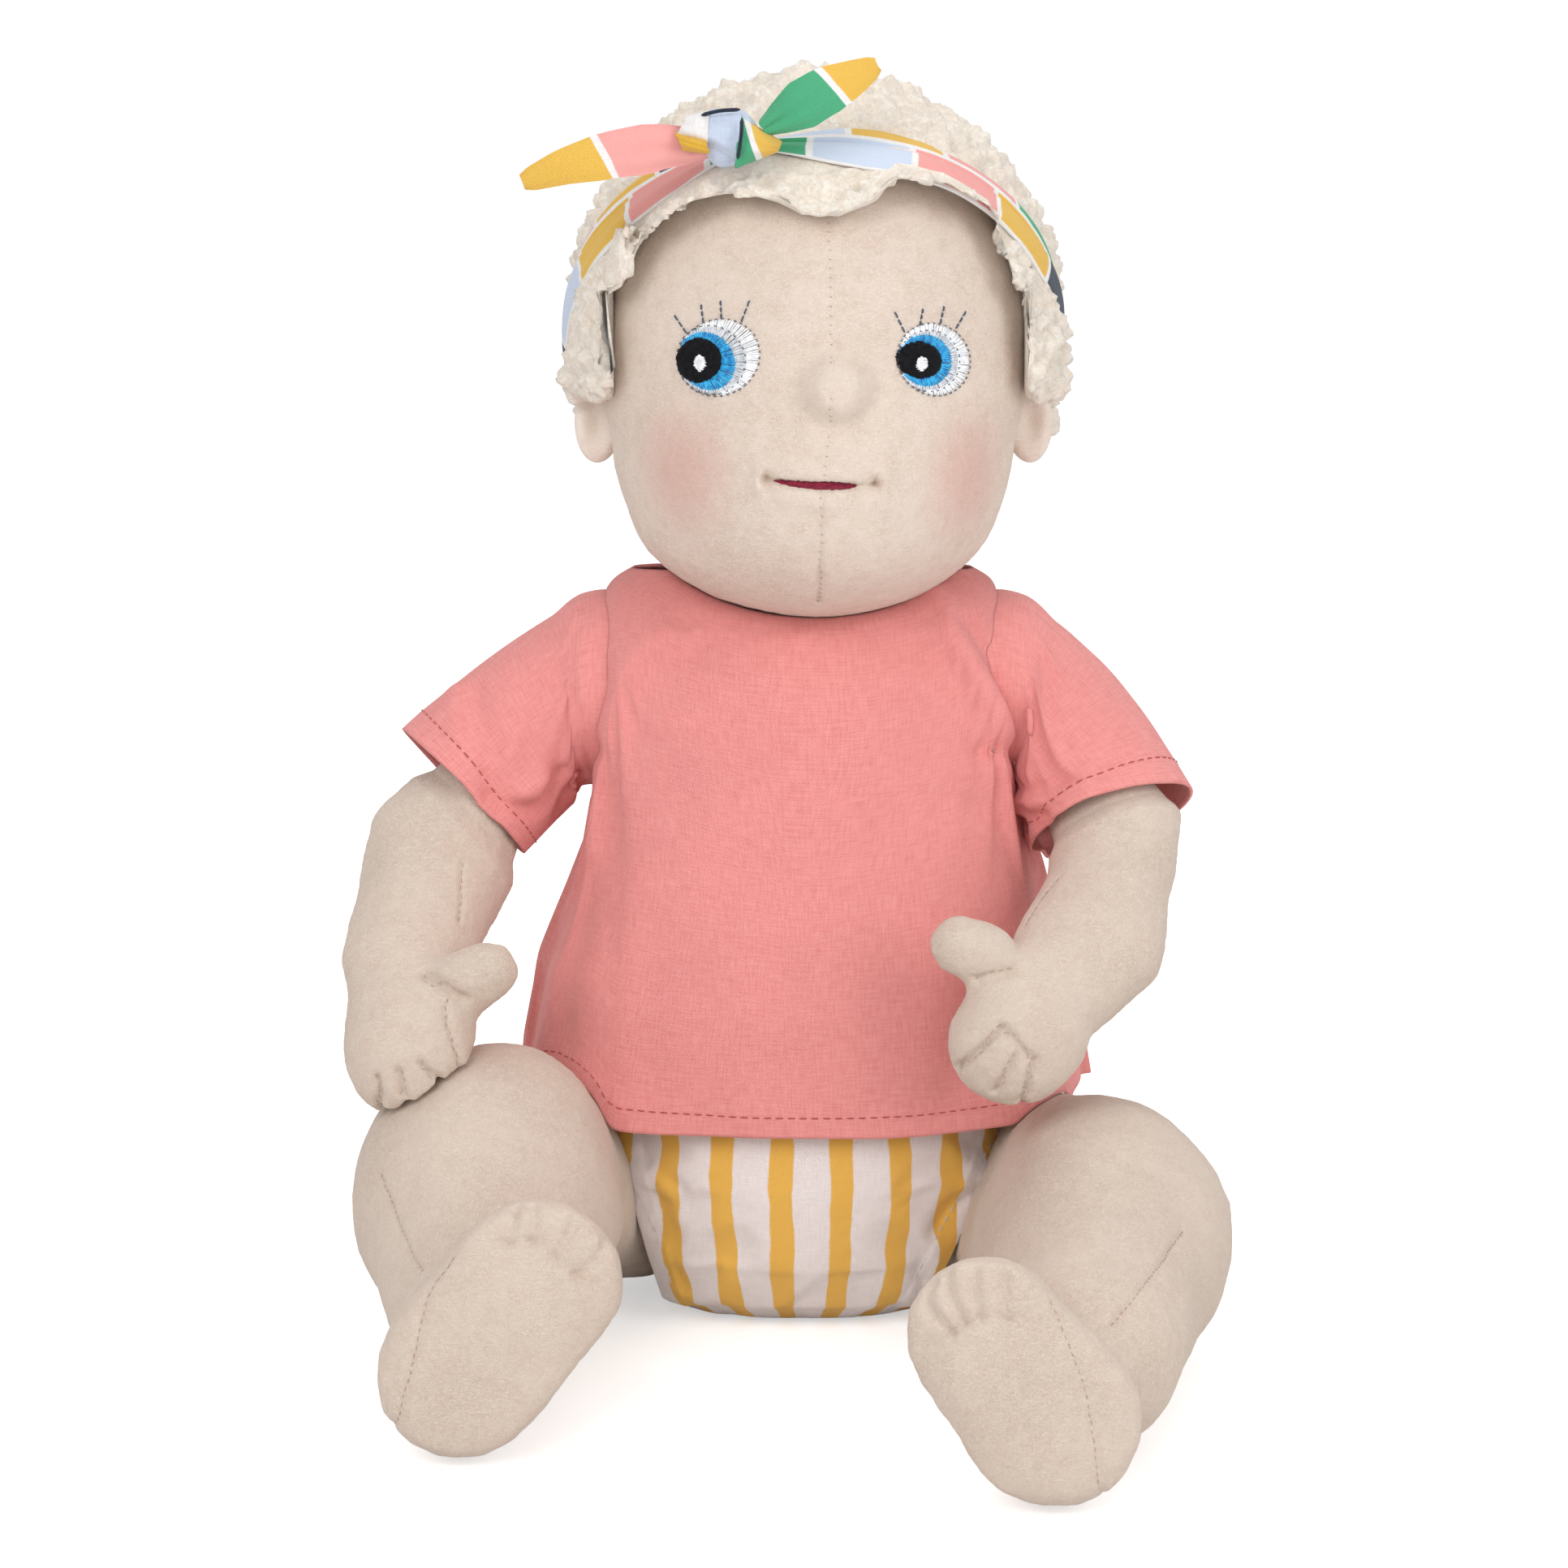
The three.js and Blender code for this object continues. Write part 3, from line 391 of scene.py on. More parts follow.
PINCHED = 0.35
STITCH_SHARES = np.array([0, 0.18, 0.5, 0.82, 1])
STITCH_RISE = np.array([-0.5, 0.6, 1, 0.6, -0.5])[:, None]


def thread(name, runs, radius):
    """Closed round threads along the given runs of points."""
    curve = bpy.data.curves.new(name, "CURVE")
    curve.dimensions = "3D"
    curve.bevel_depth = radius
    curve.bevel_resolution = 0
    curve.use_fill_caps = True
    for run in runs:
        spline = curve.splines.new("POLY")
        spline.points.add(len(run) - 1)
        spline.points.foreach_set("co", np.c_[np.asarray(run), np.ones(len(run))].ravel())
        spline.points[0].radius = spline.points[-1].radius = PINCHED
    strand = bpy.data.objects.new(name, curve)
    bpy.context.scene.collection.objects.link(strand)
    only(strand)
    bpy.ops.object.convert(target="MESH")
    piece = bpy.context.view_layer.objects.active
    smooth_shaded(piece)
    return piece


def stitches_along(line, normals, length, gap, lift):
    """Short stitches on a line: each rises out of the cloth and goes down again."""
    lengths = walked(line)
    runs, start = [], 0.0
    while start + length < lengths[-1]:
        at = start + STITCH_SHARES * length
        runs.append(read_off(at, lengths, line) + read_off(at, lengths, normals) * (STITCH_RISE * lift))
        start += length + gap
    return runs


def surface_line(piece, line):
    """A line laid on a surface, with the surface's normals along it."""
    tree = tree_of(piece)
    found = [tree.find_nearest(Vector(p)) for p in line]
    return np.array([f[0] for f in found]), np.array([f[1] for f in found])


def seam_stitches(piece, lines, length, gap, lift):
    """Stitches along lines that lie on a piece."""
    runs = []
    for line in lines:
        runs += stitches_along(*surface_line(piece, line), length, gap, lift)
    return runs


# %% [markdown]
# ## Finishes
# One small class wraps a shader socket, so that a finish reads as arithmetic. Each finish is built from what
# the cloth is: felt is a mat of fine hairs, cotton is a plain weave, fleece is a pile of curls.

# %% Shader arithmetic


class Signal:
    """An output socket that adds Math nodes when it is used in an expression."""

    def __init__(self, finish, socket):
        self.finish, self.socket = finish, socket

    def math(self, operation, *others):
        return self.finish.add("ShaderNodeMath", {"operation": operation}, dict(enumerate((self, *others))))

    def __add__(self, other):
        return self.math("ADD", other)

    def __sub__(self, other):
        return self.math("SUBTRACT", other)

    def __mul__(self, other):
        return self.math("MULTIPLY", other)

    def __truediv__(self, other):
        return self.math("DIVIDE", other)


class Finish:
    """A material on the Principled shader, with one method that adds any node."""

    def __init__(self, name, roughness, sheen=0.0, sheen_tint=(1, 1, 1), specular=0.5, sheen_roughness=0.5):
        self.material = bpy.data.materials.new(name)
        self.material.use_nodes = True
        self.tree = self.material.node_tree
        self.shader = self.tree.nodes["Principled BSDF"]
        values = {"Roughness": roughness, "Specular IOR Level": specular, "Sheen Weight": sheen,
                  "Sheen Tint": (*sheen_tint, 1), "Sheen Roughness": sheen_roughness}
        for key, value in values.items():
            self.shader.inputs[key].default_value = value

    def add(self, kind, settings, sockets, output=0):
        node = self.tree.nodes.new(kind)
        for key, value in settings.items():
            setattr(node, key, value)
        for key, value in sockets.items():
            if isinstance(value, Signal):
                self.tree.links.new(value.socket, node.inputs[key])
            else:
                node.inputs[key].default_value = value
        return Signal(self, node.outputs[output])

    def place(self):
        return self.add("ShaderNodeTexCoord", {}, {}, "Object")

    def cloth_place(self):
        return self.add("ShaderNodeTexCoord", {}, {}, "UV")

    def stretched(self, vector, scale):
        return self.add("ShaderNodeVectorMath", {"operation": "MULTIPLY"}, {0: vector, 1: scale})

    def noise(self, vector, scale, detail=2.0, rough=0.5, distortion=0.0):
        return self.add("ShaderNodeTexNoise", {}, {"Vector": vector, "Scale": scale, "Detail": detail,
                                                   "Roughness": rough, "Distortion": distortion})

    def cells(self, vector, scale, feature="F1", output="Distance"):
        sockets = {"Vector": vector, "Scale": scale}
        return self.add("ShaderNodeTexVoronoi", {"feature": feature}, sockets, output)

    def ramp(self, value, low, high, start=0.0, end=1.0):
        return self.add("ShaderNodeMapRange", {"interpolation_type": "SMOOTHSTEP", "clamp": True}, {
            "Value": value, "From Min": low, "From Max": high, "To Min": start, "To Max": end})

    def mix(self, share, first, second, blend="MIX"):
        colours = [(*c, 1) if isinstance(c, tuple) and len(c) == 3 else c for c in (first, second)]
        return self.add("ShaderNodeMix", {"data_type": "RGBA", "blend_type": blend}, {
            0: share, 6: colours[0], 7: colours[1]}, 2)

    def axes(self, vector):
        node = self.tree.nodes.new("ShaderNodeSeparateXYZ")
        self.tree.links.new(vector.socket, node.inputs[0])
        return [Signal(self, output) for output in node.outputs]

    def distance(self, vector, point):
        sockets = {0: vector, 1: tuple(point)}
        return self.add("ShaderNodeVectorMath", {"operation": "DISTANCE"}, sockets, "Value")

    def colour(self, signal):
        self.tree.links.new(signal.socket, self.shader.inputs["Base Color"])

    def bump(self, height, strength, distance):
        sockets = {"Height": height, "Strength": strength, "Distance": distance}
        bumped = self.add("ShaderNodeBump", {}, sockets)
        self.tree.links.new(bumped.socket, self.shader.inputs["Normal"])


def srgb(red, green, blue):
    """A colour as it is read off a picture, in the linear values that a shader takes."""
    values = [c / 255 for c in (red, green, blue)]
    return tuple(c / 12.92 if c <= 0.04045 else ((c + 0.055) / 1.055) ** 2.4 for c in values)


# %% [markdown]
# Felt: a warm beige mat. Its colour drifts a little over a hand's width, and the fine crossing hairs are
# painted in a lighter tone, as a painted highlight. The face has this felt with a soft blush rubbed into both
# cheeks.
# The limbs have the same felt painted darker, as painted shade, and the ears have it painted lighter, as
# painted light against the shade that the hair casts on them.

# %% Felt
# Each set of tones: the felt's colour, a darker tone for its random mottle, and a lighter tone that is a
# painted highlight on its hairs
FACE_TONES = (srgb(231, 213, 198), srgb(217, 196, 179), srgb(244, 230, 217))
# The limbs' tones are the face's felt painted darker: painted shade
LIMB_PAINTED_SHADE_TONES = (srgb(217, 198, 182), srgb(203, 183, 166), srgb(233, 217, 203))
BLUSH = srgb(222, 163, 152)


def felt_finish(name, tones, blushes=()):
    felt = Finish(name, 0.95, sheen=0.3, sheen_tint=srgb(255, 244, 234), specular=0.2, sheen_roughness=0.6)
    at = felt.place()
    drift = felt.noise(at, 28, 3)
    mottle = felt.noise(at, 210, 3, 0.6)
    hairs = felt.noise(felt.stretched(at, (1, 1, 2.6)), 820, 4, 0.75, 1.4)
    crossed = felt.noise(felt.stretched(at, (2.6, 1.2, 1)), 1200, 3, 0.75, 1.0)
    mat = hairs * 0.6 + crossed * 0.4
    base = felt.mix(felt.ramp(drift * 0.6 + mottle * 0.4, 0.38, 0.64), tones[0], tones[1])
    base = felt.mix(felt.ramp(mottle, 0.5, 0.72, 0.0, 0.35), base, srgb(221, 191, 177))
    # The mat's hairs are painted in the lightest tone: a painted highlight
    base = felt.mix(felt.ramp(mat, 0.4, 0.62, 0.0, 0.75), base, tones[2])
    for centre, size, share in blushes:
        spread = felt.distance(at, centre) + (drift - 0.5) * 0.006
        base = felt.mix(felt.ramp(spread, 0.002, size, share, 0.0), base, BLUSH)
    felt.colour(base)
    felt.bump(mat, 0.7, 0.0009)
    return felt.material


# The felt of the limbs, the neck and the body is painted darker: painted shade
limb_felt_painted_shade = felt_finish("limb_felt_painted_shade", LIMB_PAINTED_SHADE_TONES)
# The ears' felt is painted lighter than the face's: painted light against the shade that the hair casts on
# them
ear_felt_painted_light = felt_finish("ear_felt_painted_light", (srgb(250, 234, 220), srgb(240, 220, 205), srgb(253, 243, 233)))
seam_shade = felt_finish("seam_shade", (srgb(194, 167, 149), srgb(176, 147, 128), srgb(208, 184, 166)))

# %% [markdown]
# Cotton: a plain weave, written as two crossed waves on the cloth's own UV map, which is in metres of cloth.
# Slubs are long thin noise along each thread.

# %% Cotton
THREAD_PITCH = 0.00052


def weave_of(finish):
    """The cloth's own map, the height of a plain weave on it and the drift of its threads."""
    at = finish.cloth_place()
    across, up, _ = finish.axes(at)
    turns = 2 * math.pi / THREAD_PITCH
    woven = (across * turns).math("SINE") * (up * turns).math("SINE") * 0.5 + 0.5
    warp = finish.noise(finish.stretched(at, (1.5, 0.12, 1)), 1500, 2)
    weft = finish.noise(finish.stretched(at, (0.12, 1.5, 1)), 1500, 2)
    return across, up, woven, warp * 0.5 + weft * 0.5


def cotton_finish(name, light, dark, paint=None):
    cotton = Finish(name, 0.88, sheen=0.15, specular=0.25)
    across, up, woven, slub = weave_of(cotton)
    drift = cotton.noise(cotton.place(), 22, 2)
    base = cotton.mix(cotton.ramp(slub * 0.7 + woven * 0.3, 0.32, 0.64), dark, light)
    if paint:
        base = paint(cotton, across, up, base)
    base = cotton.mix(cotton.ramp(drift, 0.3, 0.75, 0.0, 0.12), base, (0.55, 0.5, 0.48), "MULTIPLY")
    cotton.colour(base)
    cotton.bump(woven * 0.45 + slub * 0.9, 0.6, 0.0004)
    return cotton.material


coral_cotton = cotton_finish("coral_cotton", srgb(242, 160, 156), srgb(222, 131, 128))
coral_thread = cotton_finish("coral_thread", srgb(214, 98, 96), srgb(196, 84, 84))

# %% [markdown]
# The shorts have broad printed stripes. A stripe is a band of the cloth's width whose two edges wander, as a
# block print does. The headband is a plain check of colour blocks with white lines between them.

# %% Prints
STRIPE_PITCH = 0.0159
STRIPE_HALF = 0.0033
STRIPE_START = 0.0058


def stripes(cotton, across, up, base):
    wander = cotton.noise(cotton.stretched(cotton.cloth_place(), (1, 0.45, 1)), 95, 2)
    shifted = across + STRIPE_START + (wander - 0.5) * 0.0034
    phase = shifted.math("PINGPONG", STRIPE_PITCH / 2)
    fringe = cotton.noise(cotton.cloth_place(), 1500, 2) * 0.0005
    inside = cotton.ramp(phase + fringe, STRIPE_HALF - 0.0001, STRIPE_HALF + 0.0004, 1.0, 0.0)
    return cotton.mix(inside * 0.94, base, srgb(243, 186, 66))


striped_cotton = cotton_finish("striped_cotton", srgb(252, 243, 241), srgb(238, 226, 224), stripes)
white_thread = cotton_finish("white_thread", srgb(250, 249, 246), srgb(236, 234, 230))

BLOCK_LENGTH = 0.027
BLOCK_HEIGHT = 0.0125
BLOCK_LINE = 0.0014
GREEN, YELLOW, PINK = srgb(52, 166, 116), srgb(231, 183, 62), srgb(240, 161, 156)
PALE_BLUE, NAVY = srgb(205, 217, 238), srgb(30, 48, 66)
BLOCK_COLOURS = [NAVY, YELLOW, PINK, PALE_BLUE, GREEN, PINK, YELLOW, PALE_BLUE]


def blocks(cotton, across, up, base):
    """Paint for the band: rows of colour blocks, each row shifted along, with white lines between them."""
    row = (up / BLOCK_HEIGHT).math("FLOOR")
    wobble = (cotton.noise(cotton.cloth_place(), 60, 2) - 0.5) * 0.0016
    along = across + row * (BLOCK_LENGTH * 0.37) + wobble
    column = (along / BLOCK_LENGTH).math("FLOOR")
    index = (column + row * 3).math("WRAP", float(len(BLOCK_COLOURS)), 0.0)
    from_side = along.math("PINGPONG", BLOCK_LENGTH / 2)
    from_end = (up + wobble).math("PINGPONG", BLOCK_HEIGHT / 2)
    inked = cotton.ramp(from_side, BLOCK_LINE * 0.5, BLOCK_LINE * 0.8)
    inked = inked * cotton.ramp(from_end, BLOCK_LINE * 0.4, BLOCK_LINE * 0.7)
    for number, colour in enumerate(BLOCK_COLOURS):
        chosen = index.math("COMPARE", float(number), 0.4)
        base = cotton.mix(chosen * inked * 0.95, base, colour)
    return base


def ends(inner, tip, at):
    """Paint for a tail: one colour by the knot, a white line that leans, another colour at the tip."""
    def paint(cotton, across, up, base):
        along = across + up * 0.35 + (cotton.noise(cotton.cloth_place(), 60, 2) - 0.5) * 0.002
        base = cotton.mix(cotton.ramp(along, at - 0.0011, at - 0.0007, 0.95, 0.0), base, inner)
        return cotton.mix(cotton.ramp(along, at + 0.0007, at + 0.0011, 0.0, 0.95), base, tip)
    return paint


WHITE_CLOTH = srgb(250, 248, 246), srgb(226, 222, 222)
band_cotton = cotton_finish("band_cotton", *WHITE_CLOTH, blocks)
tail_cottons = {"right": cotton_finish("right_tail_cotton", *WHITE_CLOTH, ends(PINK, YELLOW, 0.030)),
                "left": cotton_finish("left_tail_cotton", *WHITE_CLOTH, ends(GREEN, YELLOW, 0.0235))}
fold_cotton = cotton_finish("fold_cotton", *WHITE_CLOTH, ends(GREEN, YELLOW, 0.0068))
pale_cotton = cotton_finish("pale_cotton", srgb(212, 223, 242), srgb(190, 203, 228))
navy_cotton = cotton_finish("navy_cotton", srgb(38, 54, 76), srgb(24, 36, 54))
yellow_cotton = cotton_finish("yellow_cotton", srgb(236, 190, 72), srgb(216, 164, 48))
white_cotton = cotton_finish("white_cotton", srgb(250, 248, 246), srgb(224, 220, 220))

# %% [markdown]
# Fleece: cream curls. Their tips are painted paler, as a painted highlight, and the hollows between them
# darker and warmer, as painted shade. The curls themselves are in the mesh; the finish adds the finer crimp
# of the wool.

# %% Fleece
fleece = Finish("fleece", 0.96, sheen=0.5, sheen_tint=srgb(255, 250, 240), specular=0.15, sheen_roughness=0.5)
fleece_at = fleece.place()
curl = fleece.noise(fleece_at, 420, 5, 0.65, 2.2)
tuft = fleece.cells(fleece_at, 260)
crimp = fleece.noise(fleece.stretched(fleece_at, (1, 1, 1.8)), 1500, 3, 0.7, 2.0)
wool = curl * 0.7 + crimp * 0.3
# Painted highlight on the curl tops, and painted shade in the hollows between the tufts
fleece_painted_light = fleece.mix(fleece.ramp(wool, 0.36, 0.62), srgb(238, 221, 203), srgb(255, 250, 241))
fleece_painted_light = fleece.mix(fleece.ramp(tuft, 0.3, 0.8, 0.0, 0.3), fleece_painted_light, srgb(230, 211, 191))
fleece.colour(fleece_painted_light)
fleece.bump(wool - tuft * 0.3, 0.7, 0.0013)
fleece_curls = fleece.material

# %% [markdown]
# Embroidery thread is shiny, so it is smoother than cotton, and a fine grain runs over it.

# %% Threads


def thread_finish(name, light, dark, roughness=0.45, specular=0.5):
    silk = Finish(name, roughness, sheen=specular / 5, specular=specular)
    at = silk.place()
    twist = silk.noise(at, 2600, 2)
    strand = silk.noise(at, 700, 2)
    silk.colour(silk.mix(silk.ramp(strand * 0.6 + twist * 0.4, 0.38, 0.62), dark, light))
    silk.bump(twist, 0.3, 0.0002)
    return silk.material


eye_white_thread = thread_finish("eye_white_thread", srgb(252, 252, 252), srgb(226, 228, 232))
iris_thread = thread_finish("iris_thread", srgb(52, 182, 232), srgb(6, 122, 190))
pupil_thread = thread_finish("pupil_thread", srgb(24, 23, 27), srgb(7, 7, 10), 0.7, 0.15)
silver_thread = thread_finish("silver_thread", srgb(226, 229, 233), srgb(190, 195, 202))
outline_thread = thread_finish("outline_thread", srgb(112, 120, 134), srgb(70, 78, 92))
lash_thread = thread_finish("lash_thread", srgb(70, 84, 106), srgb(46, 58, 78))

crimson = Finish("crimson_felt", 0.95, sheen=0.3, specular=0.2)
crimson_mat = crimson.noise(crimson.place(), 1100, 4, 0.7, 1.0)
crimson.colour(crimson.mix(crimson.ramp(crimson_mat, 0.35, 0.65), srgb(104, 20, 42), srgb(150, 38, 64)))
crimson.bump(crimson_mat, 0.5, 0.0006)
crimson_felt = crimson.material

tape = Finish("hook_tape", 0.8, sheen=0.2, specular=0.3)
loops = tape.cells(tape.place(), 1400)
tape.colour(tape.mix(tape.ramp(loops, 0.2, 0.8), srgb(250, 248, 244), srgb(222, 218, 212)))
tape.bump(loops, 0.6, 0.0005)
hook_tape = tape.material
print(len(bpy.data.materials), "materials with the CAD's own")


def dress(piece, material, body, slot, *nodes):
    """Gives a finished piece its material and its body, and hides the CAD nodes that it stands for. The slot
    is not used.
    """
    piece.data.materials.clear()
    piece.data.materials.append(material)
    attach(piece, body)
    if nodes:
        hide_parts(*nodes)
    triangles = sum(len(p.vertices) - 2 for p in piece.data.polygons)
    print(piece.name, triangles, "triangles")


# %% [markdown]
# ## Head
# The real head is a ball of wadding under a felt skin. It is made here from a cube cut fine and rounded,
# because such a ball has no poles. Every point slides out along its ray until it meets the skull's form: a
# cranium, a jaw and a muzzle, run into one another. The nose, the mouth and the seam are pressed in
# afterwards.

# %% Skull form
HEAD_X = 4.0
SKULL = [((HEAD_X, 4, NECK_SEAM + 80), (59, 61, 60)), ((HEAD_X, -7, NECK_SEAM + 45.5), (54.5, 51, 41.5)),
         ((HEAD_X + 2, -34, NECK_SEAM + 42), (33, 27, 26))]
SKULL_BLEND = 16
HEAD_CORE = np.array([HEAD_X, -2, NECK_SEAM + 62])
FURTHEST_SKIN = 110.0


def skull_field(points):
    """Below 0 inside the skull, in millimetres. The stuffed cheeks are a little slimmer than their solid."""
    slim = 1 - 0.05 * np.exp(-((points[:, 2] - NECK_SEAM - 43) / 18) ** 4)
    points = np.stack([HEAD_X + (points[:, 0] - HEAD_X) / slim, points[:, 1], points[:, 2]], 1)
    total = None
    for centre, radii in SKULL:
        q = (points - np.array(centre)) / radii
        k = np.linalg.norm(q, axis=1)
        value = k * (k - 1) / np.maximum(np.linalg.norm(q / radii, axis=1), 1e-9)
        if total is None:
            total = value
        else:
            near = np.maximum(SKULL_BLEND - np.abs(total - value), 0) / SKULL_BLEND
            total = np.minimum(total, value) - near * near * SKULL_BLEND / 4
    return total


def skull_skin(directions):
    """Where rays from the head's core meet the skull's form."""
    near, far = np.zeros(len(directions)), np.full(len(directions), FURTHEST_SKIN)
    for _ in range(24):
        middle = (near + far) / 2
        inside = skull_field(HEAD_CORE + directions * middle[:, None]) < 0
        near, far = np.where(inside, middle, near), np.where(inside, far, middle)
    return HEAD_CORE + directions * ((near + far) / 2)[:, None]


def ball_of(name, cuts):
    """A ball of even squares: a cube cut fine and rounded."""
    piece = new_piece(name, bpy.ops.mesh.primitive_cube_add, size=2)
    bpy.ops.object.mode_set(mode="EDIT")
    bpy.ops.mesh.select_all(action="SELECT")
    bpy.ops.mesh.subdivide(number_cuts=cuts)
    bpy.ops.object.mode_set(mode="OBJECT")
    cube = np.clip(points_of(piece), -1, 1)
    rounded = np.tan(cube * (math.pi / 4))
    set_points(piece, rounded / np.linalg.norm(rounded, axis=1)[:, None])
    return piece


# %% Head form
NOSE_SPOT = (1032, 478)
MOUTH_SPOTS = (944, 594), (1080, 600)
HOLLOW_SPOTS = (884, 442), (1154, 444)
CHEEK_SPOTS = (838, 580), (1196, 585)
head = ball_of("head_felt", 108)
rays = points_of(head) + np.array([0, -0.45, -0.12])
rays /= np.linalg.norm(rays, axis=1)[:, None]
skin = skull_skin(rays)
set_points(head, place(skin))
bare_face = tree_of(head)
NOSE = draft(spotted(bare_face, *NOSE_SPOT))
MOUTH_LEFT, MOUTH_RIGHT = [draft(spotted(bare_face, *spot)) for spot in MOUTH_SPOTS]
print("nose", NOSE.round(1), "mouth", MOUTH_LEFT.round(1), MOUTH_RIGHT.round(1))

# %% [markdown]
# The nose is a button of felt with a drawn-in foot. The mouth is a slit under a full upper lip. It is pressed
# in between its two corners, and only its middle is open, so that the dark red lining shows.

# %% Nose and mouth
front = np.clip(-(skin[:, 1] + 20) / 20, 0, 1)
from_nose = np.hypot(skin[:, 0] - NOSE[0], skin[:, 2] - NOSE[2])
swell = 7.8 * np.exp(-(from_nose / 7.9) ** 3.6)
foot = 0.7 * np.exp(-((from_nose - 10.2) / 2.2) ** 2)
skin[:, 1] -= (swell - foot) * front


def dimple(aside, above, wide, high):
    """A round spot: 1 at its middle, and nearly 0 at twice its size."""
    return np.exp(-((aside / wide) ** 2 + (above / high) ** 2))


MOUTH = (MOUTH_LEFT + MOUTH_RIGHT) / 2
MOUTH_HALF = (MOUTH_RIGHT[0] - MOUTH_LEFT[0]) / 2
SLIT_HALF, SLIT_X = 10.8, -1.6
tilt = (MOUTH_RIGHT[2] - MOUTH_LEFT[2]) / (2 * MOUTH_HALF)
across = skin[:, 0] - MOUTH[0]
off_slit = skin[:, 2] - (MOUTH[2] + tilt * across + 0.5 * (across / MOUTH_HALF) ** 2)
opened = np.clip(1 - ((across - SLIT_X) / SLIT_HALF) ** 2, 0, 1) ** 0.4
within = 1 / (1 + np.exp((np.abs(across) - MOUTH_HALF) / 0.8))
ragged = 0.12 * np.sin(across * 2.9) + 0.1 * np.sin(across * 5.3 + 1)
gape = 0.72 + 0.06 * opened + 0.7 * ragged * opened
slit = (3.6 * opened + 1.8) * np.exp(-(np.abs(off_slit + 0.15 * opened) / gape) ** 3)
upper_lip = 2.0 * np.exp(-((off_slit - 3.6) / 2.7) ** 2) * np.exp(-(across / 13.5) ** 2)
lower_lip = 1.1 * np.exp(-((off_slit + 4.4) / 2.6) ** 2) * np.exp(-(across / 11) ** 2)
corners = sum(dimple(across - side * (MOUTH_HALF - 0.2), off_slit - 0.3 - side * 0.1, 1.5, 1.9)
              for side in (-1, 1))
folds = sum(dimple(across - side * (MOUTH_HALF + 1.9), off_slit + 0.6, 1.6, 4.4) for side in (-1, 1))
skin[:, 1] += (slit * within - upper_lip - lower_lip + 3.0 * corners - 1.1 * folds) * front

# Eye hollows are shallow
for spot in HOLLOW_SPOTS:
    hollow = draft(spotted(bare_face, *spot))
    reach = np.hypot((skin[:, 0] - hollow[0]) / 1.1, skin[:, 2] - hollow[2])
    skin[:, 1] += np.exp(-(reach / 12) ** 2) * front
set_points(head, place(skin))

# %% [markdown]
# Stuffing leaves the felt a little lumpy, and the seam down the middle of the face is drawn in. The underside
# is hollowed for the neck's dome.

# %% Stuffing, face seam and socket
soft = points_of(head)
grow(head, blobs(soft, 0.021, 4) * 0.0005 + blobs(soft, 0.007, 5) * 0.00014 + pile(soft))
FACE_SEAMS = [
    ([(1020, 250), (1023, 330), (1024, 400), (1024, 446)], 0.0003),
    ([(1024, 486), (1023, 520), (1019, 556), (1016, 586)], 0.0006),
    ([(1012, 608), (1012, 650), (1011, 700), (1009, 742)], 0.0009),
]
SEAM_WIDTH = 0.0008
face_seams = [traced(head, places) for places, _ in FACE_SEAMS]
for seam, (_, depth) in zip(face_seams, FACE_SEAMS):
    crease(head, seam, depth, SEAM_WIDTH)

SOCKET = 23.3
skin = draft(points_of(head))
from_axis = np.hypot(skin[:, 0] - NECK_X, skin[:, 1] - NECK_Y)
dome = NECK_SEAM + np.sqrt(np.clip(SOCKET ** 2 - from_axis ** 2, 0, None))
under = (skin[:, 2] < NECK_SEAM + 40) & (from_axis < SOCKET)
skin[under, 2] = np.maximum(skin[under, 2], dome[under])
set_points(head, place(skin))
smooth_shaded(head)
blushes = [(spotted(bare_face, *spot), 0.025, 0.55) for spot in CHEEK_SPOTS]
face_felt = felt_finish("face_felt", FACE_TONES, blushes)
dress(head, face_felt, "head", "felt", "head")
face_tree = tree_of(head)


def on_face(x, z, lift=0.0):
    """The point of the face straight behind a place in the front view."""
    start = Vector(place((x, -150, z)))
    hit, normal, _, _ = face_tree.ray_cast(start, Vector((0, 1, 0)))
    return np.array(hit) + np.array(normal) * (lift / 1000), np.array(normal)


# %% Seam pricks and mouth lining
pricks = []
for seam in face_seams:
    path, outward = surface_line(head, seam)
    for spot, out in zip(path[1::2], outward[1::2]):
        beside = np.array([0.0005, 0, -0.0002])
        pricks.append([spot - beside - out * 0.00003, spot + out * 0.00007, spot + beside - out * 0.00003])
seam_thread = thread("face_seam_stitches", pricks, 0.00014)
dress(seam_thread, seam_shade, "head", "felt")

LIP_SHARES = (-1, -0.5, 0, 0.5, 1)
lining = new_piece("mouth_felt", bpy.ops.mesh.primitive_uv_sphere_add, segments=40, ring_count=20)
ball = points_of(lining)
lips_front = [draft(on_face(MOUTH[0] + SLIT_X + share * SLIT_HALF, MOUTH[2] + 3)[0])[1]
              for share in LIP_SHARES]
lips_y = np.interp(ball[:, 0], LIP_SHARES, lips_front)
bent = np.stack([MOUTH[0] + SLIT_X + ball[:, 0] * (SLIT_HALF + 0.6),
                 lips_y + 3.4 + ball[:, 1] * 1.7,
                 MOUTH[2] + tilt * ball[:, 0] * SLIT_HALF + ball[:, 2] * 1.4 - 0.1], 1)
set_points(lining, place(bent))
smooth_shaded(lining)
dress(lining, crimson_felt, "head", "crimson_felt", "mouth_lining")

# %% [markdown]
# ## Eyes
# An embroidered eye is rows of satin stitch laid side by side. The pupil is stitched from side to side, the
# iris and the white are stitched outwards round it, and a dotted line of dark stitches rims the white. Each
# thread is laid on the face, rises over its middle and goes down into the felt at both ends.

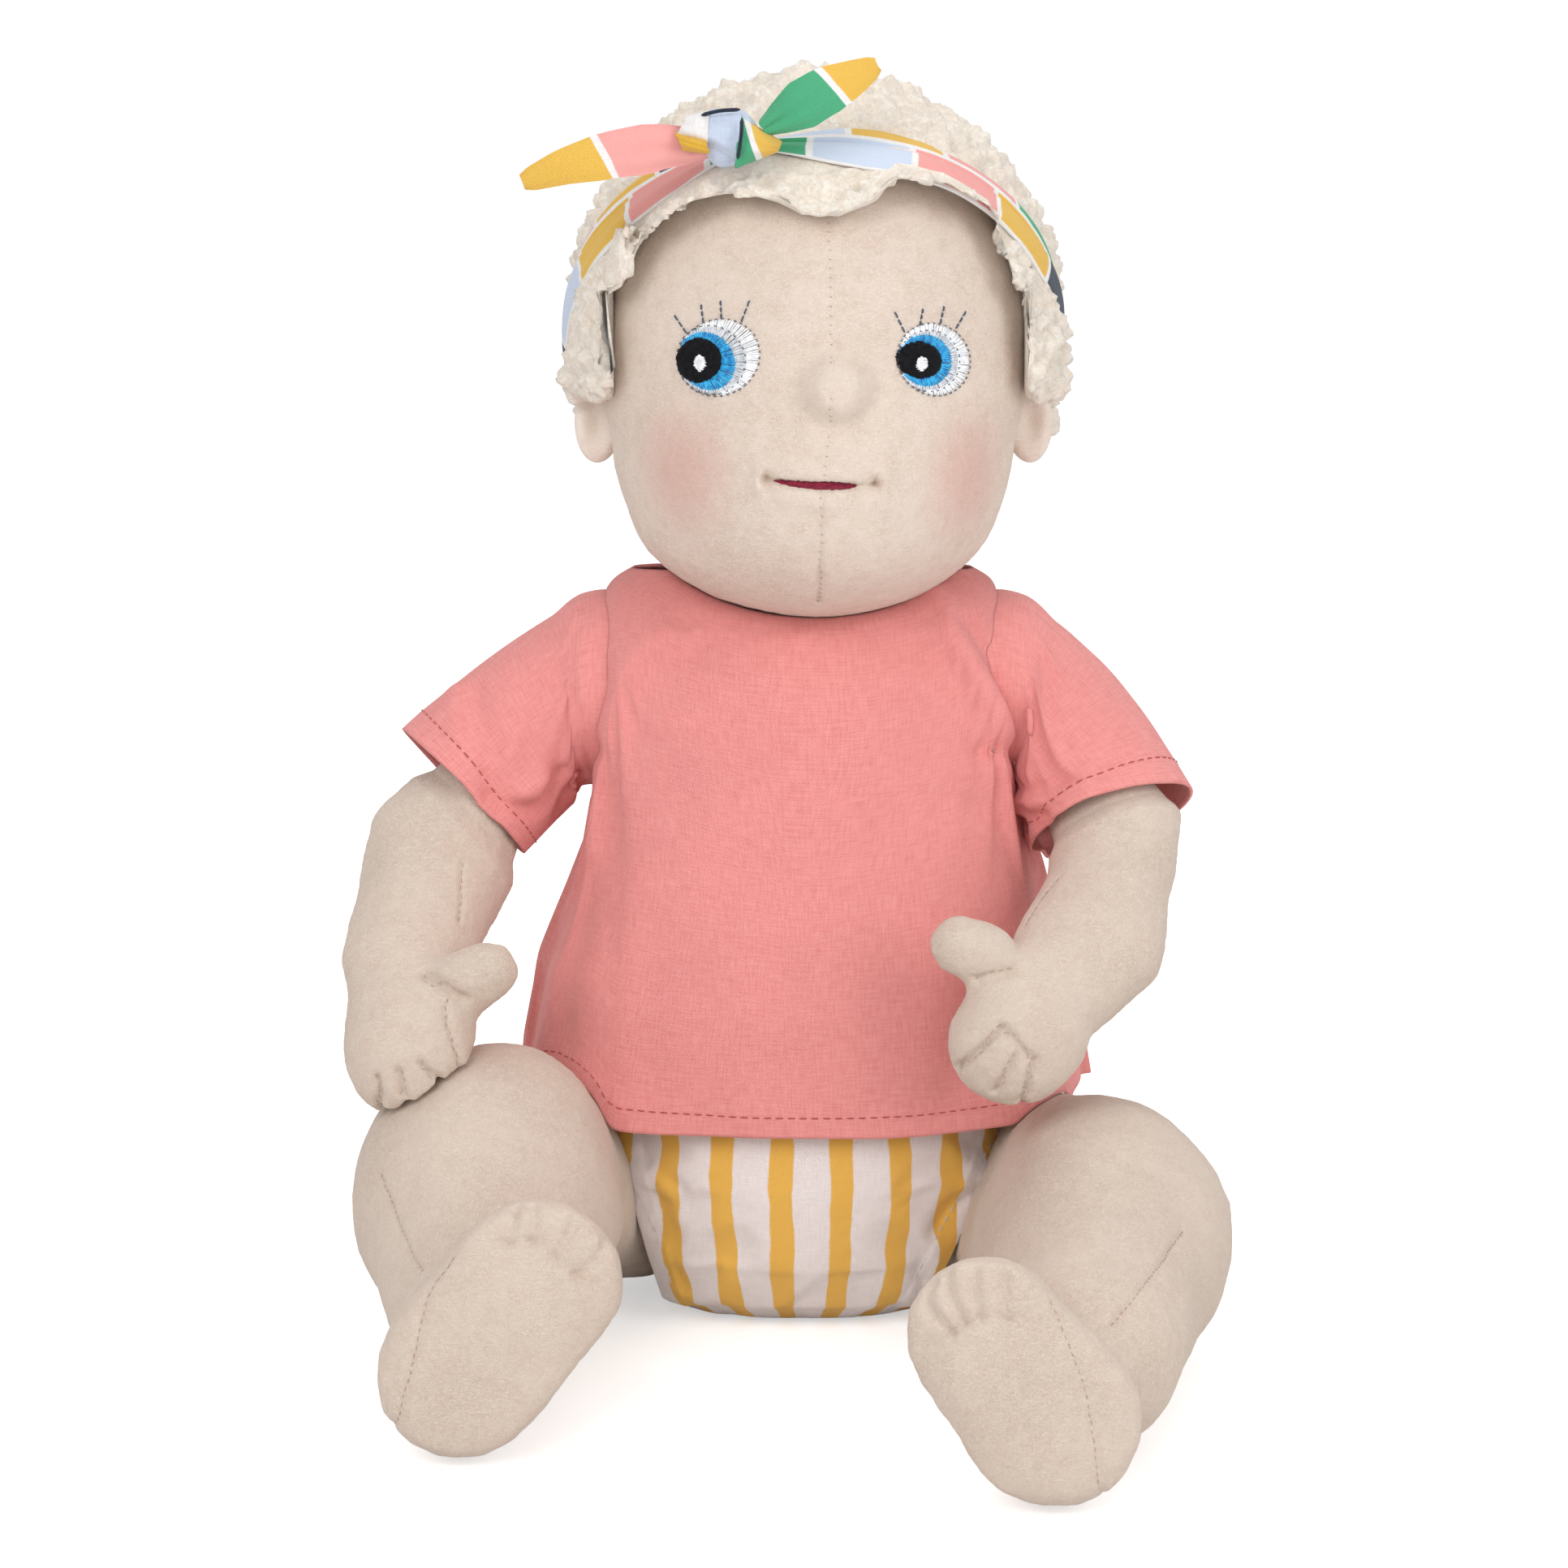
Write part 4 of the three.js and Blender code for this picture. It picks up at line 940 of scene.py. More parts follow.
# %% Embroidery
EYE_SCALE = 0.2135  # millimetres of the face to a pixel of the picture
EYES = {
    "right": {
        "white": (886.0, 441.0, 51.0, 44.0, 32), "silver": (877.0, 444.0, 41.5, 41.0, 32),
        "iris": (872.0, 445.5, 34.5, 37.0, 40), "pupil": (862.0, 444.3, 28.5, 26.0),
        "glint": (864.7, 447.8, 8.2, 9.0), "pupil_lean": 0.1,
        "lashes": [(831, 388, 847, 412), (864, 375, 867, 399), (888, 370, 889, 394), (924, 370, 913, 398)]},
    "left": {
        "white": (1150.5, 443.3, 47.0, 40.5, -42), "silver": (1143.5, 445.0, 38.5, 35.5, -42),
        "iris": (1139.5, 444.5, 34.5, 31.0, -42), "pupil": (1131.8, 444.0, 28.5, 21.5),
        "glint": (1133.0, 448.6, 8.6, 8.0), "pupil_lean": -0.14,
        "lashes": [(1102, 384, 1115, 411), (1137, 380, 1133, 402), (1163, 377, 1158, 400),
                   (1190, 383, 1177, 406)]},
}
random.seed(7)


def oval_at(column, row, wide, high, lean=0.0):
    """An oval on the face: its middle, its two half sizes and its lean, from places in the picture."""
    x, _, z = draft(spotted(bare_face, column, row))
    return x, z - NECK_SEAM, wide * EYE_SCALE, high * EYE_SCALE, math.radians(lean)


def laid(ends, lift, steps=6, ragged=0.35, steep=0.45):
    """One thread between two places in the front view, in draft millimetres."""
    (x1, z1), (x2, z2) = ends
    length = math.hypot(x2 - x1, z2 - z1)
    stretch = 1 + random.uniform(-ragged, ragged) / max(length, 0.5)
    xm, zm = (x1 + x2) / 2, (z1 + z2) / 2
    run = []
    for i in range(steps):
        share = (1 - math.cos(math.pi * i / (steps - 1))) / 2
        x = xm + (x1 + (x2 - x1) * share - xm) * stretch
        z = zm + (z1 + (z2 - z1) * share - zm) * stretch
        rise = lift * (abs(math.sin(math.pi * share)) ** steep) - 0.12 * (i in (0, steps - 1))
        run.append(on_face(x, z, rise)[0])
    return run


def on_oval(oval, angle):
    """The place of an oval's edge at an angle, in the front view."""
    x, z, rx, rz, lean = oval
    across, up = rx * math.cos(angle), rz * math.sin(angle)
    return (x + across * math.cos(lean) - up * math.sin(lean),
            NECK_SEAM + z + across * math.sin(lean) + up * math.cos(lean))


def ray_out(centre, oval, angle):
    """Where a ray at an angle from a centre leaves an oval."""
    x, z, rx, rz, lean = oval
    dx, dz = math.cos(angle - lean), math.sin(angle - lean)
    ox, oz = centre[0] - x, centre[1] - z
    px = (ox * math.cos(lean) + oz * math.sin(lean)) / rx
    pz = (oz * math.cos(lean) - ox * math.sin(lean)) / rz
    qx, qz = dx / rx, dz / rz
    a, b, c = qx * qx + qz * qz, 2 * (px * qx + pz * qz), px * px + pz * pz - 1
    root = b * b - 4 * a * c
    return None if root < 0 else (-b + math.sqrt(root)) / (2 * a)


def satin_ring(inner, outer, lift, least):
    """Threads from one oval out to another, round the inner one's centre, where the gap isn't too narrow."""
    centre = inner[0], inner[1]
    count = int(2 * math.pi * (outer[2] + outer[3]) / 2 / SATIN_PITCH)
    runs = []
    for i in range(count):
        angle = 2 * math.pi * (i + random.uniform(-0.25, 0.25)) / count
        start, end = ray_out(centre, inner, angle), ray_out(centre, outer, angle)
        if start is None or end is None or end - start < least:
            continue
        start -= max(SATIN_OVERLAP, 0.9 - (end - start))
        places = [(centre[0] + math.cos(angle) * r, NECK_SEAM + centre[1] + math.sin(angle) * r)
                  for r in (start, end)]
        runs.append(laid(places, lift))
    return runs


def satin_fill(oval, pitch, lift, lean=0.0):
    """Threads from side to side over an oval."""
    x, z, rx, rz, _ = oval
    runs = []
    count = int(2 * rz / pitch)
    for i in range(count + 1):
        share = -1 + 2 * i / count
        half = rx * math.sqrt(max(1 - (0.985 * share) ** 2, 0.02))
        height = NECK_SEAM + z + share * rz
        places = [(x - half, height - lean * half), (x + half, height + lean * half)]
        runs.append(laid(places, lift, 9, steep=0.22))
    return runs


def dotted(oval, grown, count, length, lift):
    """A ring of short stitches along an oval."""
    wide = (oval[0], oval[1], oval[2] + grown, oval[3] + grown, oval[4])
    step = 2 * math.pi / count
    return [laid([on_oval(wide, i * step), on_oval(wide, i * step + length * step)], lift, 4, 0.1)
            for i in range(count)]


def lash_runs(lashes):
    """Three short stitches in a row for each lash."""
    runs = []
    for x1, y1, x2, y2 in lashes:
        start, end = draft(spotted(bare_face, x1, y1)), draft(spotted(bare_face, x2, y2))
        z1, z2 = start[2] - NECK_SEAM, end[2] - NECK_SEAM
        for i in range(3):
            runs.append(laid([(start[0] + (end[0] - start[0]) * share, NECK_SEAM + z1 + (z2 - z1) * share)
                              for share in (i / 3, (i + 0.93) / 3)], 0.3, 4, 0.0))
    return runs


SATIN_PITCH, SATIN_OVERLAP = 0.5, 0.5
OVALS = ("white", "silver", "iris", "pupil", "glint")
# Each sewn part's thread radius, material, slot and the CAD node that it stands for
SEWN = {
    "eye_white": (0.00031, eye_white_thread, "white_thread", "eye_white"),
    "eye_silver": (0.00030, silver_thread, "white_thread", ""),
    "iris": (0.00032, iris_thread, "blue_thread", "iris"),
    "pupil": (0.00034, pupil_thread, "black_thread", "pupil"),
    "glint": (0.00028, eye_white_thread, "white_thread", "glint"),
    "eye_outline": (0.00017, outline_thread, "grey_thread", ""),
    "lash": (0.00027, lash_thread, "grey_thread", "lashes"),
}
for side, eye in EYES.items():
    white, silver, iris, pupil, glint = [oval_at(*eye[part]) for part in OVALS]
    sewn_runs = {
        "eye_white": satin_ring(silver, white, 0.45, 0.5),
        "eye_silver": satin_ring(iris, silver, 0.42, 0.3),
        "iris": satin_ring(pupil, iris, 0.55, 0.1),
        "pupil": satin_fill(pupil, 0.46, 1.0, eye["pupil_lean"]),
        "glint": satin_fill(glint, 0.4, 1.4),
        "eye_outline": dotted(white, 0.15, 40, 0.5, 0.5) + dotted(silver, 0.1, 30, 0.42, 0.8),
        "lash": lash_runs(eye["lashes"]),
    }
    for part, (radius, material, slot, node) in SEWN.items():
        sewn = thread(side + "_" + part + "_stitches", sewn_runs[part], radius)
        dress(sewn, material, "head", slot, *([side + "_" + node] if node else []))

# %% [markdown]
# ## Ears
# Each ear is a small felt pad, folded so that its middle is hollow, with its front edge hidden by the hair.

# %% Ears
for side, sign in SIDES:
    ear = ball_of(side + "_ear_felt_painted_light", 14)
    low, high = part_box(side + "_ear")
    centre, half = (np.array(low) + np.array(high)) / 2, (np.array(high) - np.array(low)) / 2
    form = points_of(ear)
    rim_near = np.hypot(form[:, 0], form[:, 2])
    form[:, 1] *= 0.75 + 0.25 * rim_near
    form[:, 1] += np.where(form[:, 1] < 0, 0.55 * np.exp(-(rim_near / 0.55) ** 2), 0)
    form[:, 2] *= 1 + 0.06 * form[:, 0] * sign
    set_points(ear, centre + form * half * (1.5, 1.0, 1.06) - np.array([sign * 0.0020, 0, 0]))
    subdivide(ear, 1)
    smooth_shaded(ear)
    # Their felt is painted lighter, as painted light against the hair's shade
    dress(ear, ear_felt_painted_light, "head", "felt", side + "_ear")

# %% [markdown]
# ## Hair
# The hair is a cap of curly fleece. Its form is the CAD cap, remeshed fine. Curls are raised in the mesh
# itself: a coarse swell for each tuft, and a finer one for each curl in it.

# %% Hair
BAND_CENTRE = np.array([3, 5, NECK_SEAM + 81])
BAND_LEAN = math.radians(42)
BAND_OFF = np.array([0, math.cos(BAND_LEAN), math.sin(BAND_LEAN)])
hair = copy_of("hair_fleece", "hair")
remeshed(hair, 0.0021)
relax(hair, 14)
subdivide(hair, 1)


def curls(points, size, seed):
    """Rounded bumps with sharp valleys between them, from 0 to 1."""
    offset = Vector((seed, seed * 2.0, seed * 0.5))
    bumps = np.empty(len(points))
    for i, p in enumerate(points):
        q = Vector(p) / size + offset
        q += noise.noise_vector(q * 0.7) * 0.45
        bumps[i] = noise.voronoi(q)[0][0]
    return 1 - np.clip(bumps, 0, 1)


FRINGE = [(735, 330), (752, 296), (765, 274), (810, 274), (854, 252), (908, 243), (961, 254), (988, 268),
          (1033, 270), (1069, 256), (1104, 224), (1160, 226), (1215, 250), (1250, 284), (1272, 312)]
fringe = np.array([draft(spotted(bare_face, *spot)) for spot in FRINGE])
wool_draft = draft(points_of(hair))
facing = wool_draft[:, 1] < 2
edge_z = np.full(len(FRINGE), np.nan)
for i, (x, _, z) in enumerate(fringe):
    column = facing & (np.abs(wool_draft[:, 0] - x) < 3) & (wool_draft[:, 2] > NECK_SEAM + 70)
    edge_z[i] = wool_draft[column, 2].min()
shift = np.interp(wool_draft[:, 0], fringe[:, 0], fringe[:, 2] - edge_z + 1.5, left=0, right=0)
edge_here = np.interp(wool_draft[:, 0], fringe[:, 0], edge_z)
above = np.clip((wool_draft[:, 2] - edge_here) / 30, 0, 1)
share = np.where(facing & (wool_draft[:, 2] > NECK_SEAM + 66), (1 - above) ** 2, 0)
share = share * np.clip((4 - wool_draft[:, 1]) / 12, 0, 1)
wool_draft[:, 2] += shift * share
print("fringe moved by", (fringe[:, 2] - edge_z).round(1), "mm")
beside_face = np.clip((-38 - wool_draft[:, 0]) / 6, 0, 1) * np.clip((-8 - wool_draft[:, 1]) / 10, 0, 1)
inward = 3.2 * beside_face * np.clip((NECK_SEAM + 104 - wool_draft[:, 2]) / 20, 0, 1)
wool_draft[:, 0] += inward
height_off = skull_field(wool_draft)
buried = height_off < 0.4
out_of_head = HEAD_CORE - wool_draft
out_of_head /= -np.linalg.norm(out_of_head, axis=1)[:, None]
step_out = np.where(buried & ((share > 0.02) | (inward > 0.1)), 0.4 - height_off, 0)
RIM_LEFT = [(742, 486), (752, 455), (762, 420), (764, 380), (764, 335)]
RIM_RIGHT = [(1263, 340), (1271, 390), (1272, 440), (1266, 486)]
rim = np.array([spotted(bare_face, *spot) for spot in RIM_LEFT + FRINGE[2:] + RIM_RIGHT])
rim = fine_line(rim, 0.003)
from_rim = line_distance(place(wool_draft), rim) * 1000
over_brow = np.clip((wool_draft[:, 2] - NECK_SEAM - 92) / 14, 0, 1)
thinned = (0.25 + 0.4 * over_brow) * (1 - np.clip(from_rim / 8, 0, 1)) ** 1.2
step_out -= np.clip(height_off, 0, None) * thinned
set_points(hair, place(wool_draft + out_of_head * step_out[:, None]))
wool_points = points_of(hair)
wool_normals = normals_of(hair)
raised = curls(wool_points, 0.0080, 1.0) * 0.0040 + curls(wool_points, 0.0043, 5.0) * 0.0032
raised += curls(wool_points, 0.0024, 9.0) * 0.0011 + blobs(wool_points, 0.015, 8) * 0.0010 - 0.0037
from_band = np.abs((draft(wool_points) - BAND_CENTRE) @ BAND_OFF)
under_band = np.clip((9.4 - from_band) / 1.4, 0, 1)
raised = raised * (1 - under_band) - 0.0004 * under_band
raised *= 1.15
raised += 0.0016 * np.exp(-((from_rim - 8) / 5) ** 2) * (1 - under_band) * (1 - over_brow)
# The outside and the edge are curly. They never sink to the backing, which lies on the skull
from_core = draft(wool_points) - HEAD_CORE
from_core /= np.linalg.norm(from_core, axis=1)[:, None]
facing_out = (wool_normals * from_core).sum(1)
outside = np.clip(facing_out * 1.8 + 1.1, 0, 1)
raised = np.maximum(raised, -0.0001 - 0.004 * np.clip(facing_out, 0, 1))
curly = draft(wool_points + wool_normals * (raised * outside)[:, None])
least_off = np.clip(facing_out * 4.0, 0.2, 1.2)
sunk = np.clip(least_off - skull_field(curly), 0, None) * (facing_out > -0.4)
set_points(hair, place(curly + from_core * sunk[:, None]))
smooth_shaded(hair)
dress(hair, fleece_curls, "head", "fleece", "hair")
print("hair lies", skull_field(draft(points_of(hair))).min().round(2), "mm off the skull at its nearest")

# %% [markdown]
# ## Neck and body
# Both are plain stuffed forms that the clothes hide. They are remeshed and relaxed, the body is blown up a
# little, and the bag of pellets in it is made lumpy.

# %% Neck and body
neck = copy_of("neck_felt", "neck")
remeshed(neck, 0.002)
relax(neck, 4)
smooth_shaded(neck)
dress(neck, limb_felt_painted_shade, "neck", "felt", "neck")

body = copy_of("body_felt", "torso_front", "torso_back")
remeshed(body, 0.005)
relax(body, 6)
flat_side = draft(points_of(body))
held = (flat_side[:, 2] > 178) | (flat_side[:, 2] < 6) | (np.abs(flat_side[:, 0] - MIDDLE) > 43.5)
side_seam = np.abs(flat_side[:, 1]) < 2.5
simulate(body, np.maximum(held.astype(float), side_seam * 0.9), 10, 0.0008, pressure=2.0)
grow(body, -0.0017)
subdivide(body, 1)
smooth_shaded(body)
dress(body, limb_felt_painted_shade, "torso", "felt", "torso_front", "torso_back")

bag = copy_of("pellet_bag_cotton", "pellet_bag")
remeshed(bag, 0.003)
relax(bag, 4)
bag_points = points_of(bag)
grow(bag, blobs(bag_points, 0.006, 3) * 0.0006 - 0.0004)
smooth_shaded(bag)
dress(bag, white_thread, "torso", "bag_cotton", "pellet_bag")

# %% [markdown]
# ## Arms
# An arm is one felt skin with a mitten hand. Stuffing swells it between its side seams, and lines of stitches
# drawn into the mitten make the wrist, the thumb and the fingers.

# %% Arms
ARM_SEAMS = {
    "right": [(571, 1062), (570, 1100), (567, 1136)],
    "left": [(1304, 1080), (1283, 1104), (1262, 1140)],
}
CUFFS = {"right": ((-93, -13, 142), (-0.73, -0.22, -0.64)), "left": ((86, -24, 136), (0.34, -0.5, -0.8))}

# Where an arm is fuller or slimmer than its solid: a place in the front view, how far that reaches to the
# side and up, and how many millimetres it adds towards the doll's left
ARM_SWELLS = {
    "right": ((-118, 143, 14, 6, -3.2), (-118, 127, 14, 8, 1.2), (-118, 109, 14, 9, -3.8)),
    "left": ((98, 89, 12, 9, -4.6), (106, 128, 9, 9, -1.6), (62, 114, 9, 11, -3.6)),
}


def swung(side, points):
    """Below its sleeve the right arm stands out further than its solid does. Both are filled unevenly."""
    moved, spots = np.array(points, float), draft(points)
    if side == "right":
        moved[:, 0] -= 0.0028 * np.exp(-((spots[:, 2] - 136) / 20) ** 2)
    for x, z, wide, high, amount in ARM_SWELLS[side]:
        near = np.exp(-((spots[:, 0] - x) / wide) ** 2 - ((spots[:, 2] - z) / high) ** 2)
        moved[:, 0] += 0.001 * amount * near
    return moved


HAND_LINES = {
    "right": [
        ([(523, 1200), (544, 1214), (571, 1232)], 2.2, 1.6),
        ([(553, 1227), (548, 1243), (557, 1281), (566, 1314)], 0.9, 1.0),
        ([(519, 1310), (535, 1328), (563, 1338)], 1.9, 1.2),
        ([(490, 1320), (497, 1343), (518, 1358)], 1.7, 1.2),
        ([(463, 1328), (470, 1348), (484, 1370)], 1.6, 1.2),
        ([(500, 1350), (530, 1345), (562, 1350)], 0.8, 1.2)],
    "left": [
        ([(1203, 1208), (1220, 1203), (1252, 1196)], 1.8, 1.5),
        ([(1234, 1265), (1209, 1292), (1178, 1316)], 1.9, 1.1),
        ([(1234, 1265), (1252, 1281), (1256, 1296), (1275, 1306)], 1.6, 1.3),
        ([(1254, 1299), (1240, 1321), (1225, 1346)], 1.6, 1.1),
        ([(1275, 1305), (1267, 1330), (1253, 1362)], 1.6, 1.1)],
}


def skin_of(name, nodes, voxel, passes, held_rule, limit, seam, seam_width):
    """A stuffed skin: remeshed, relaxed, blown up against its side seam and made fine."""
    piece = copy_of(name, *nodes)
    remeshed(piece, voxel)
    relax(piece, passes)
    held = held_rule(draft(points_of(piece))).astype(float)
    held = np.maximum(held, near_line(piece, traced(piece, seam), seam_width))
    simulate(piece, held, 14, limit, pressure=4.0)
    subdivide(piece, 2)
    return piece


for side, seam in ARM_SEAMS.items():
    arm = skin_of(side + "_arm_felt", [side + "_arm"], 0.0026, 8, lambda p: np.abs(p[:, 0] - MIDDLE) < 52,
                  0.0016, seam, 0.0022)
    lumps = swung(side, points_of(arm))
    cuff, axis = [np.array(values, float) for values in CUFFS[side]]
    below_cuff = (draft(lumps) - cuff) @ axis / np.linalg.norm(axis)
    tucked = 0.0021 * np.clip((7 - below_cuff) / 5, 0, 1)
    lumpy = blobs(lumps, 0.014, 2) * 0.00045 + pile(lumps) - tucked
    set_points(arm, lumps + normals_of(arm) * lumpy[:, None])
    lines = press(arm, [(seam, 0.6, 0.9)] + HAND_LINES[side])
    stitched = seam_stitches(arm, lines, 0.0016, 0.0007, 0.00008)
    smooth_shaded(arm)
    dress(arm, limb_felt_painted_shade, side + "_arm", "felt", side + "_arm")
    dress(thread(side + "_finger_stitches", stitched, 0.00011), seam_shade, side + "_arm", "felt")

# %% [markdown]
# ## Legs
# A leg bends at a round knee and ends in a foot with a sole sewn in. The side seam draws the felt in, and the
# toes are drawn up by a row of short puckers.

# %% Legs
LEG_SEAMS = {
    "right": [(468, 1446), (489, 1504), (509, 1550), (519, 1565)],
    "left": [(1459, 1517), (1436, 1550), (1389, 1609), (1366, 1637)],
}
FOOT_SEAMS = {
    "right": [(558, 1548), (532, 1583), (517, 1637), (507, 1688), (494, 1726), (491, 1752), (512, 1784)],
    "left": [(1296, 1602), (1313, 1646), (1338, 1713), (1349, 1780), (1352, 1831), (1348, 1848)],
}
TOE_LINES = {
    "right": [
        [(625, 1532), (634, 1509), (634, 1488)], [(653, 1529), (660, 1504), (657, 1486)],
        [(684, 1548), (700, 1530), (708, 1506)], [(712, 1571), (738, 1553), (746, 1534)]],
    "left": [
        [(1170, 1639), (1147, 1618), (1140, 1593), (1150, 1579)],
        [(1188, 1627), (1173, 1609), (1167, 1581), (1167, 1568)],
        [(1207, 1622), (1199, 1595), (1201, 1568)], [(1241, 1622), (1234, 1598), (1240, 1574)]],
}
TOE_ROWS = {
    "right": [(612, 1536), (625, 1532), (653, 1529), (684, 1548), (712, 1571), (730, 1580)],
    "left": [(1136, 1653), (1170, 1640), (1188, 1628), (1207, 1622), (1241, 1622), (1254, 1624)],
}
ANKLE_FOLDS = {
    "right": [([(702, 1683), (712, 1668), (728, 1654)], 1.6, 6.0)],
    "left": [([(1142, 1650), (1156, 1646)], 0.8, 1.6)],
}

for side, seam in LEG_SEAMS.items():
    leg = skin_of(side + "_leg_felt", [side + "_leg", side + "_sole"], 0.0036, 9,
                  lambda p: (p[:, 1] > -16) | (p[:, 2] < 1.5), 0.0022, seam, 0.003)
    lumps, spots = points_of(leg), draft(points_of(leg))
    free = np.clip((-20 - spots[:, 1]) / 12, 0, 1) * np.clip(spots[:, 2] / 6, 0, 1)
    off_floor = np.clip(spots[:, 2] / 2, 0, 1)
    grow(leg, blobs(lumps, 0.019, 6) * 0.0007 * free + pile(lumps) * off_floor)
    marks = [(seam, 0.7, 0.9), (FOOT_SEAMS[side], 0.6, 0.9), (TOE_ROWS[side], 1.1, 1.7)]
    marks += [(places, 1.7, 1.5) for places in TOE_LINES[side]]
    marks += [([(column - 2, row - 1), (column + 2, row + 1)], 2.6, 1.4)
              for (column, row), *_ in TOE_LINES[side]]
    leg_lines = press(leg, marks + ANKLE_FOLDS[side])
    grounded = points_of(leg)
    grounded[:, 2] = np.maximum(grounded[:, 2], 0.0002)
    set_points(leg, grounded)
    smooth_shaded(leg)
    dress(leg, limb_felt_painted_shade, side + "_leg", "felt", side + "_leg", side + "_sole")
    stitched = seam_stitches(leg, leg_lines[:2], 0.0013, 0.0009, 0.00007)
    dress(thread(side + "_leg_stitches", stitched, 0.00011), seam_shade, side + "_leg", "felt")

# %% [markdown]
# ## Clothes
# Clothes start as flat cloth: a grid whose UV map is in metres, so that weave and print keep their scale. The
# grid is wrapped to the garment's cut. The shirt, its sleeves and the shorts are then held where they are
# sewn, and let go under Cloth with a little slack.

# %% Cloth panels
flats = {}


def cut_panel(name, columns, rows, shape, closed=False, widest=False):
    """A grid of cloth laid to a shape. shape takes the shares across and up, and gives draft millimetres.
    The flat size and area that the cloth was cut to are measured on it, and its UV map is in those metres."""
    piece = new_piece(name, bpy.ops.mesh.primitive_grid_add,
                      x_subdivisions=columns, y_subdivisions=rows, size=1.0)
    flat = points_of(piece)
    across, up = flat[:, 0] + 0.5, flat[:, 1] + 0.5
    for label, values in (("across", across), ("up", up)):
        attribute = piece.data.attributes.new(label, "FLOAT", "POINT")
        attribute.data.foreach_set("value", values.astype(np.float32))
    set_points(piece, place(shape(across, up)))
    rungs = points_of(piece).reshape(rows + 1, columns + 1, 3)
    widths = np.linalg.norm(np.diff(rungs, axis=1), axis=2).sum(1)
    width = widths.max() if widest else widths.mean()
    length = np.linalg.norm(np.diff(rungs, axis=0), axis=2).sum(0).mean()
    area = sum(face.area for face in piece.data.polygons)
    flats[name] = {"flat": (float(width), float(length)), "area": area}
    layer = piece.data.uv_layers[0]
    uv = np.empty(len(layer.data) * 2)
    layer.data.foreach_get("uv", uv)
    layer.data.foreach_set("uv", ((uv.reshape(-1, 2) - (0.5 * widest, 0)) * (width, length)).ravel())
    print(name, "is cut", round(width * 1000), "by", round(length * 1000), "mm")
    if closed:
        merge(piece, 1e-5)
    return piece


def shares_of(piece):
    count = len(piece.data.vertices)
    found = []
    for label in ("across", "up"):
        values = np.empty(count)
        piece.data.attributes[label].data.foreach_get("value", values)
        found.append(values)
    return found


def row_of(piece, up_share):
    """The points of the row nearest to a share of the height, in order across."""
    across, up = shares_of(piece)
    nearest = up[np.argmin(np.abs(up - up_share))]
    chosen = np.where(np.abs(up - nearest) < 1e-4)[0]
    chosen = chosen[np.argsort(across[chosen])]
    return points_of(piece)[chosen], normals_of(piece)[chosen]


def face_out(piece, centre):
    """Turns the cloth so that its normals point away from a place inside it."""
    points, normals = points_of(piece), normals_of(piece)
    if np.sum((points - place(centre)) * normals) < 0:
        piece.data.flip_normals()


def thicken(piece, thickness):
    """Gives the cloth its thickness, on its inner side."""
    subdivide(piece, 1)
    modify(piece, "SOLIDIFY", thickness=thickness, offset=-1.0, use_even_offset=False)
    smooth_shaded(piece)


# %% Shirt cut
SHIRT = np.array([
    [59, 79, -74, 70, 2.7], [92, 73.5, -70, 65, 2.7], [112, 65.2, -63, 59.5, 2.8], [128, 59, -57, 54, 3],
    [140, 57.2, -52, 50, 3.4], [154, 57, -46, 46, 4], [168, 57, -41, 42, 4.2], [179, 56.5, -34, 36, 4.2],
    [187, 55.5, -26, 29, 4.2], [193, 54, -18, 21, 4], [197, 51, -12, 15, 3.4], [200, 46, -7, 9, 3]])
CLOTH_OFF = 0.4
HEM = 59.0
NECKLINE = {"x": NECK_X, "half": 41.0, "front": -19.5, "back": 29.0, "lowest": 182.5}
leg_trees = [tree_of(bpy.data.objects[side + "_leg_felt"]) for side, _ in SIDES]


def lap_at(x, y):
    """The height of the thigh under a place, or 0."""
    best = 0.0
    for tree in leg_trees:
        hit, _, _, _ = tree.ray_cast(Vector(place((x, y, 150))), Vector((0, 0, -1)))
        if hit:
            best = max(best, hit.z * 1000)
    return best


RUNGS = 241
profile_steps = np.r_[0, np.cumsum(np.hypot(np.diff(SHIRT[:, 0]), np.diff(SHIRT[:, 2])))]
FINE_SHIRT = evened(read_off(np.linspace(0, profile_steps[-1], RUNGS), profile_steps, SHIRT), 14)


def shirt_point(angle, rung):
    """A place on the shirt: an angle round the body, and a rung of its profile."""
    z, half, front_depth, back_depth, square = read_off(rung, np.arange(RUNGS), FINE_SHIRT).T
    c, s = np.cos(angle), np.sin(angle)
    x = MIDDLE + np.sign(c) * np.abs(c) ** (2 / square) * half
    y = np.abs(s) ** (2 / square) * np.where(s < 0, front_depth, back_depth)
    return np.stack([x, y, z], 1)


def neckline_rung(angle):
    """How far up the profile the neckline lies at each angle."""
    best = np.full(len(angle), RUNGS - 1.0)
    mid_y = (NECKLINE["front"] + NECKLINE["back"]) / 2
    deep = (NECKLINE["back"] - NECKLINE["front"]) / 2
    for rung in np.linspace(150, RUNGS - 1, 181)[::-1]:
        p = shirt_point(angle, np.full(len(angle), rung))
        inside = ((p[:, 0] - NECKLINE["x"]) / NECKLINE["half"]) ** 2 + ((p[:, 1] - mid_y) / deep) ** 2 < 1
        best = np.where(inside & (p[:, 2] > NECKLINE["lowest"]), rung, best)
    return best


def side_of_shirt(y, z):
    """How far out the shirt's side lies at a place beside the arm."""
    half, front_depth, back_depth, square = [np.interp(z, SHIRT[:, 0], SHIRT[:, k]) for k in (1, 2, 3, 4)]
    depth = np.where(y < 0, front_depth, back_depth)
    return half * np.clip(1 - np.abs(y / depth) ** square, 0.05, 1) ** (1 / square)


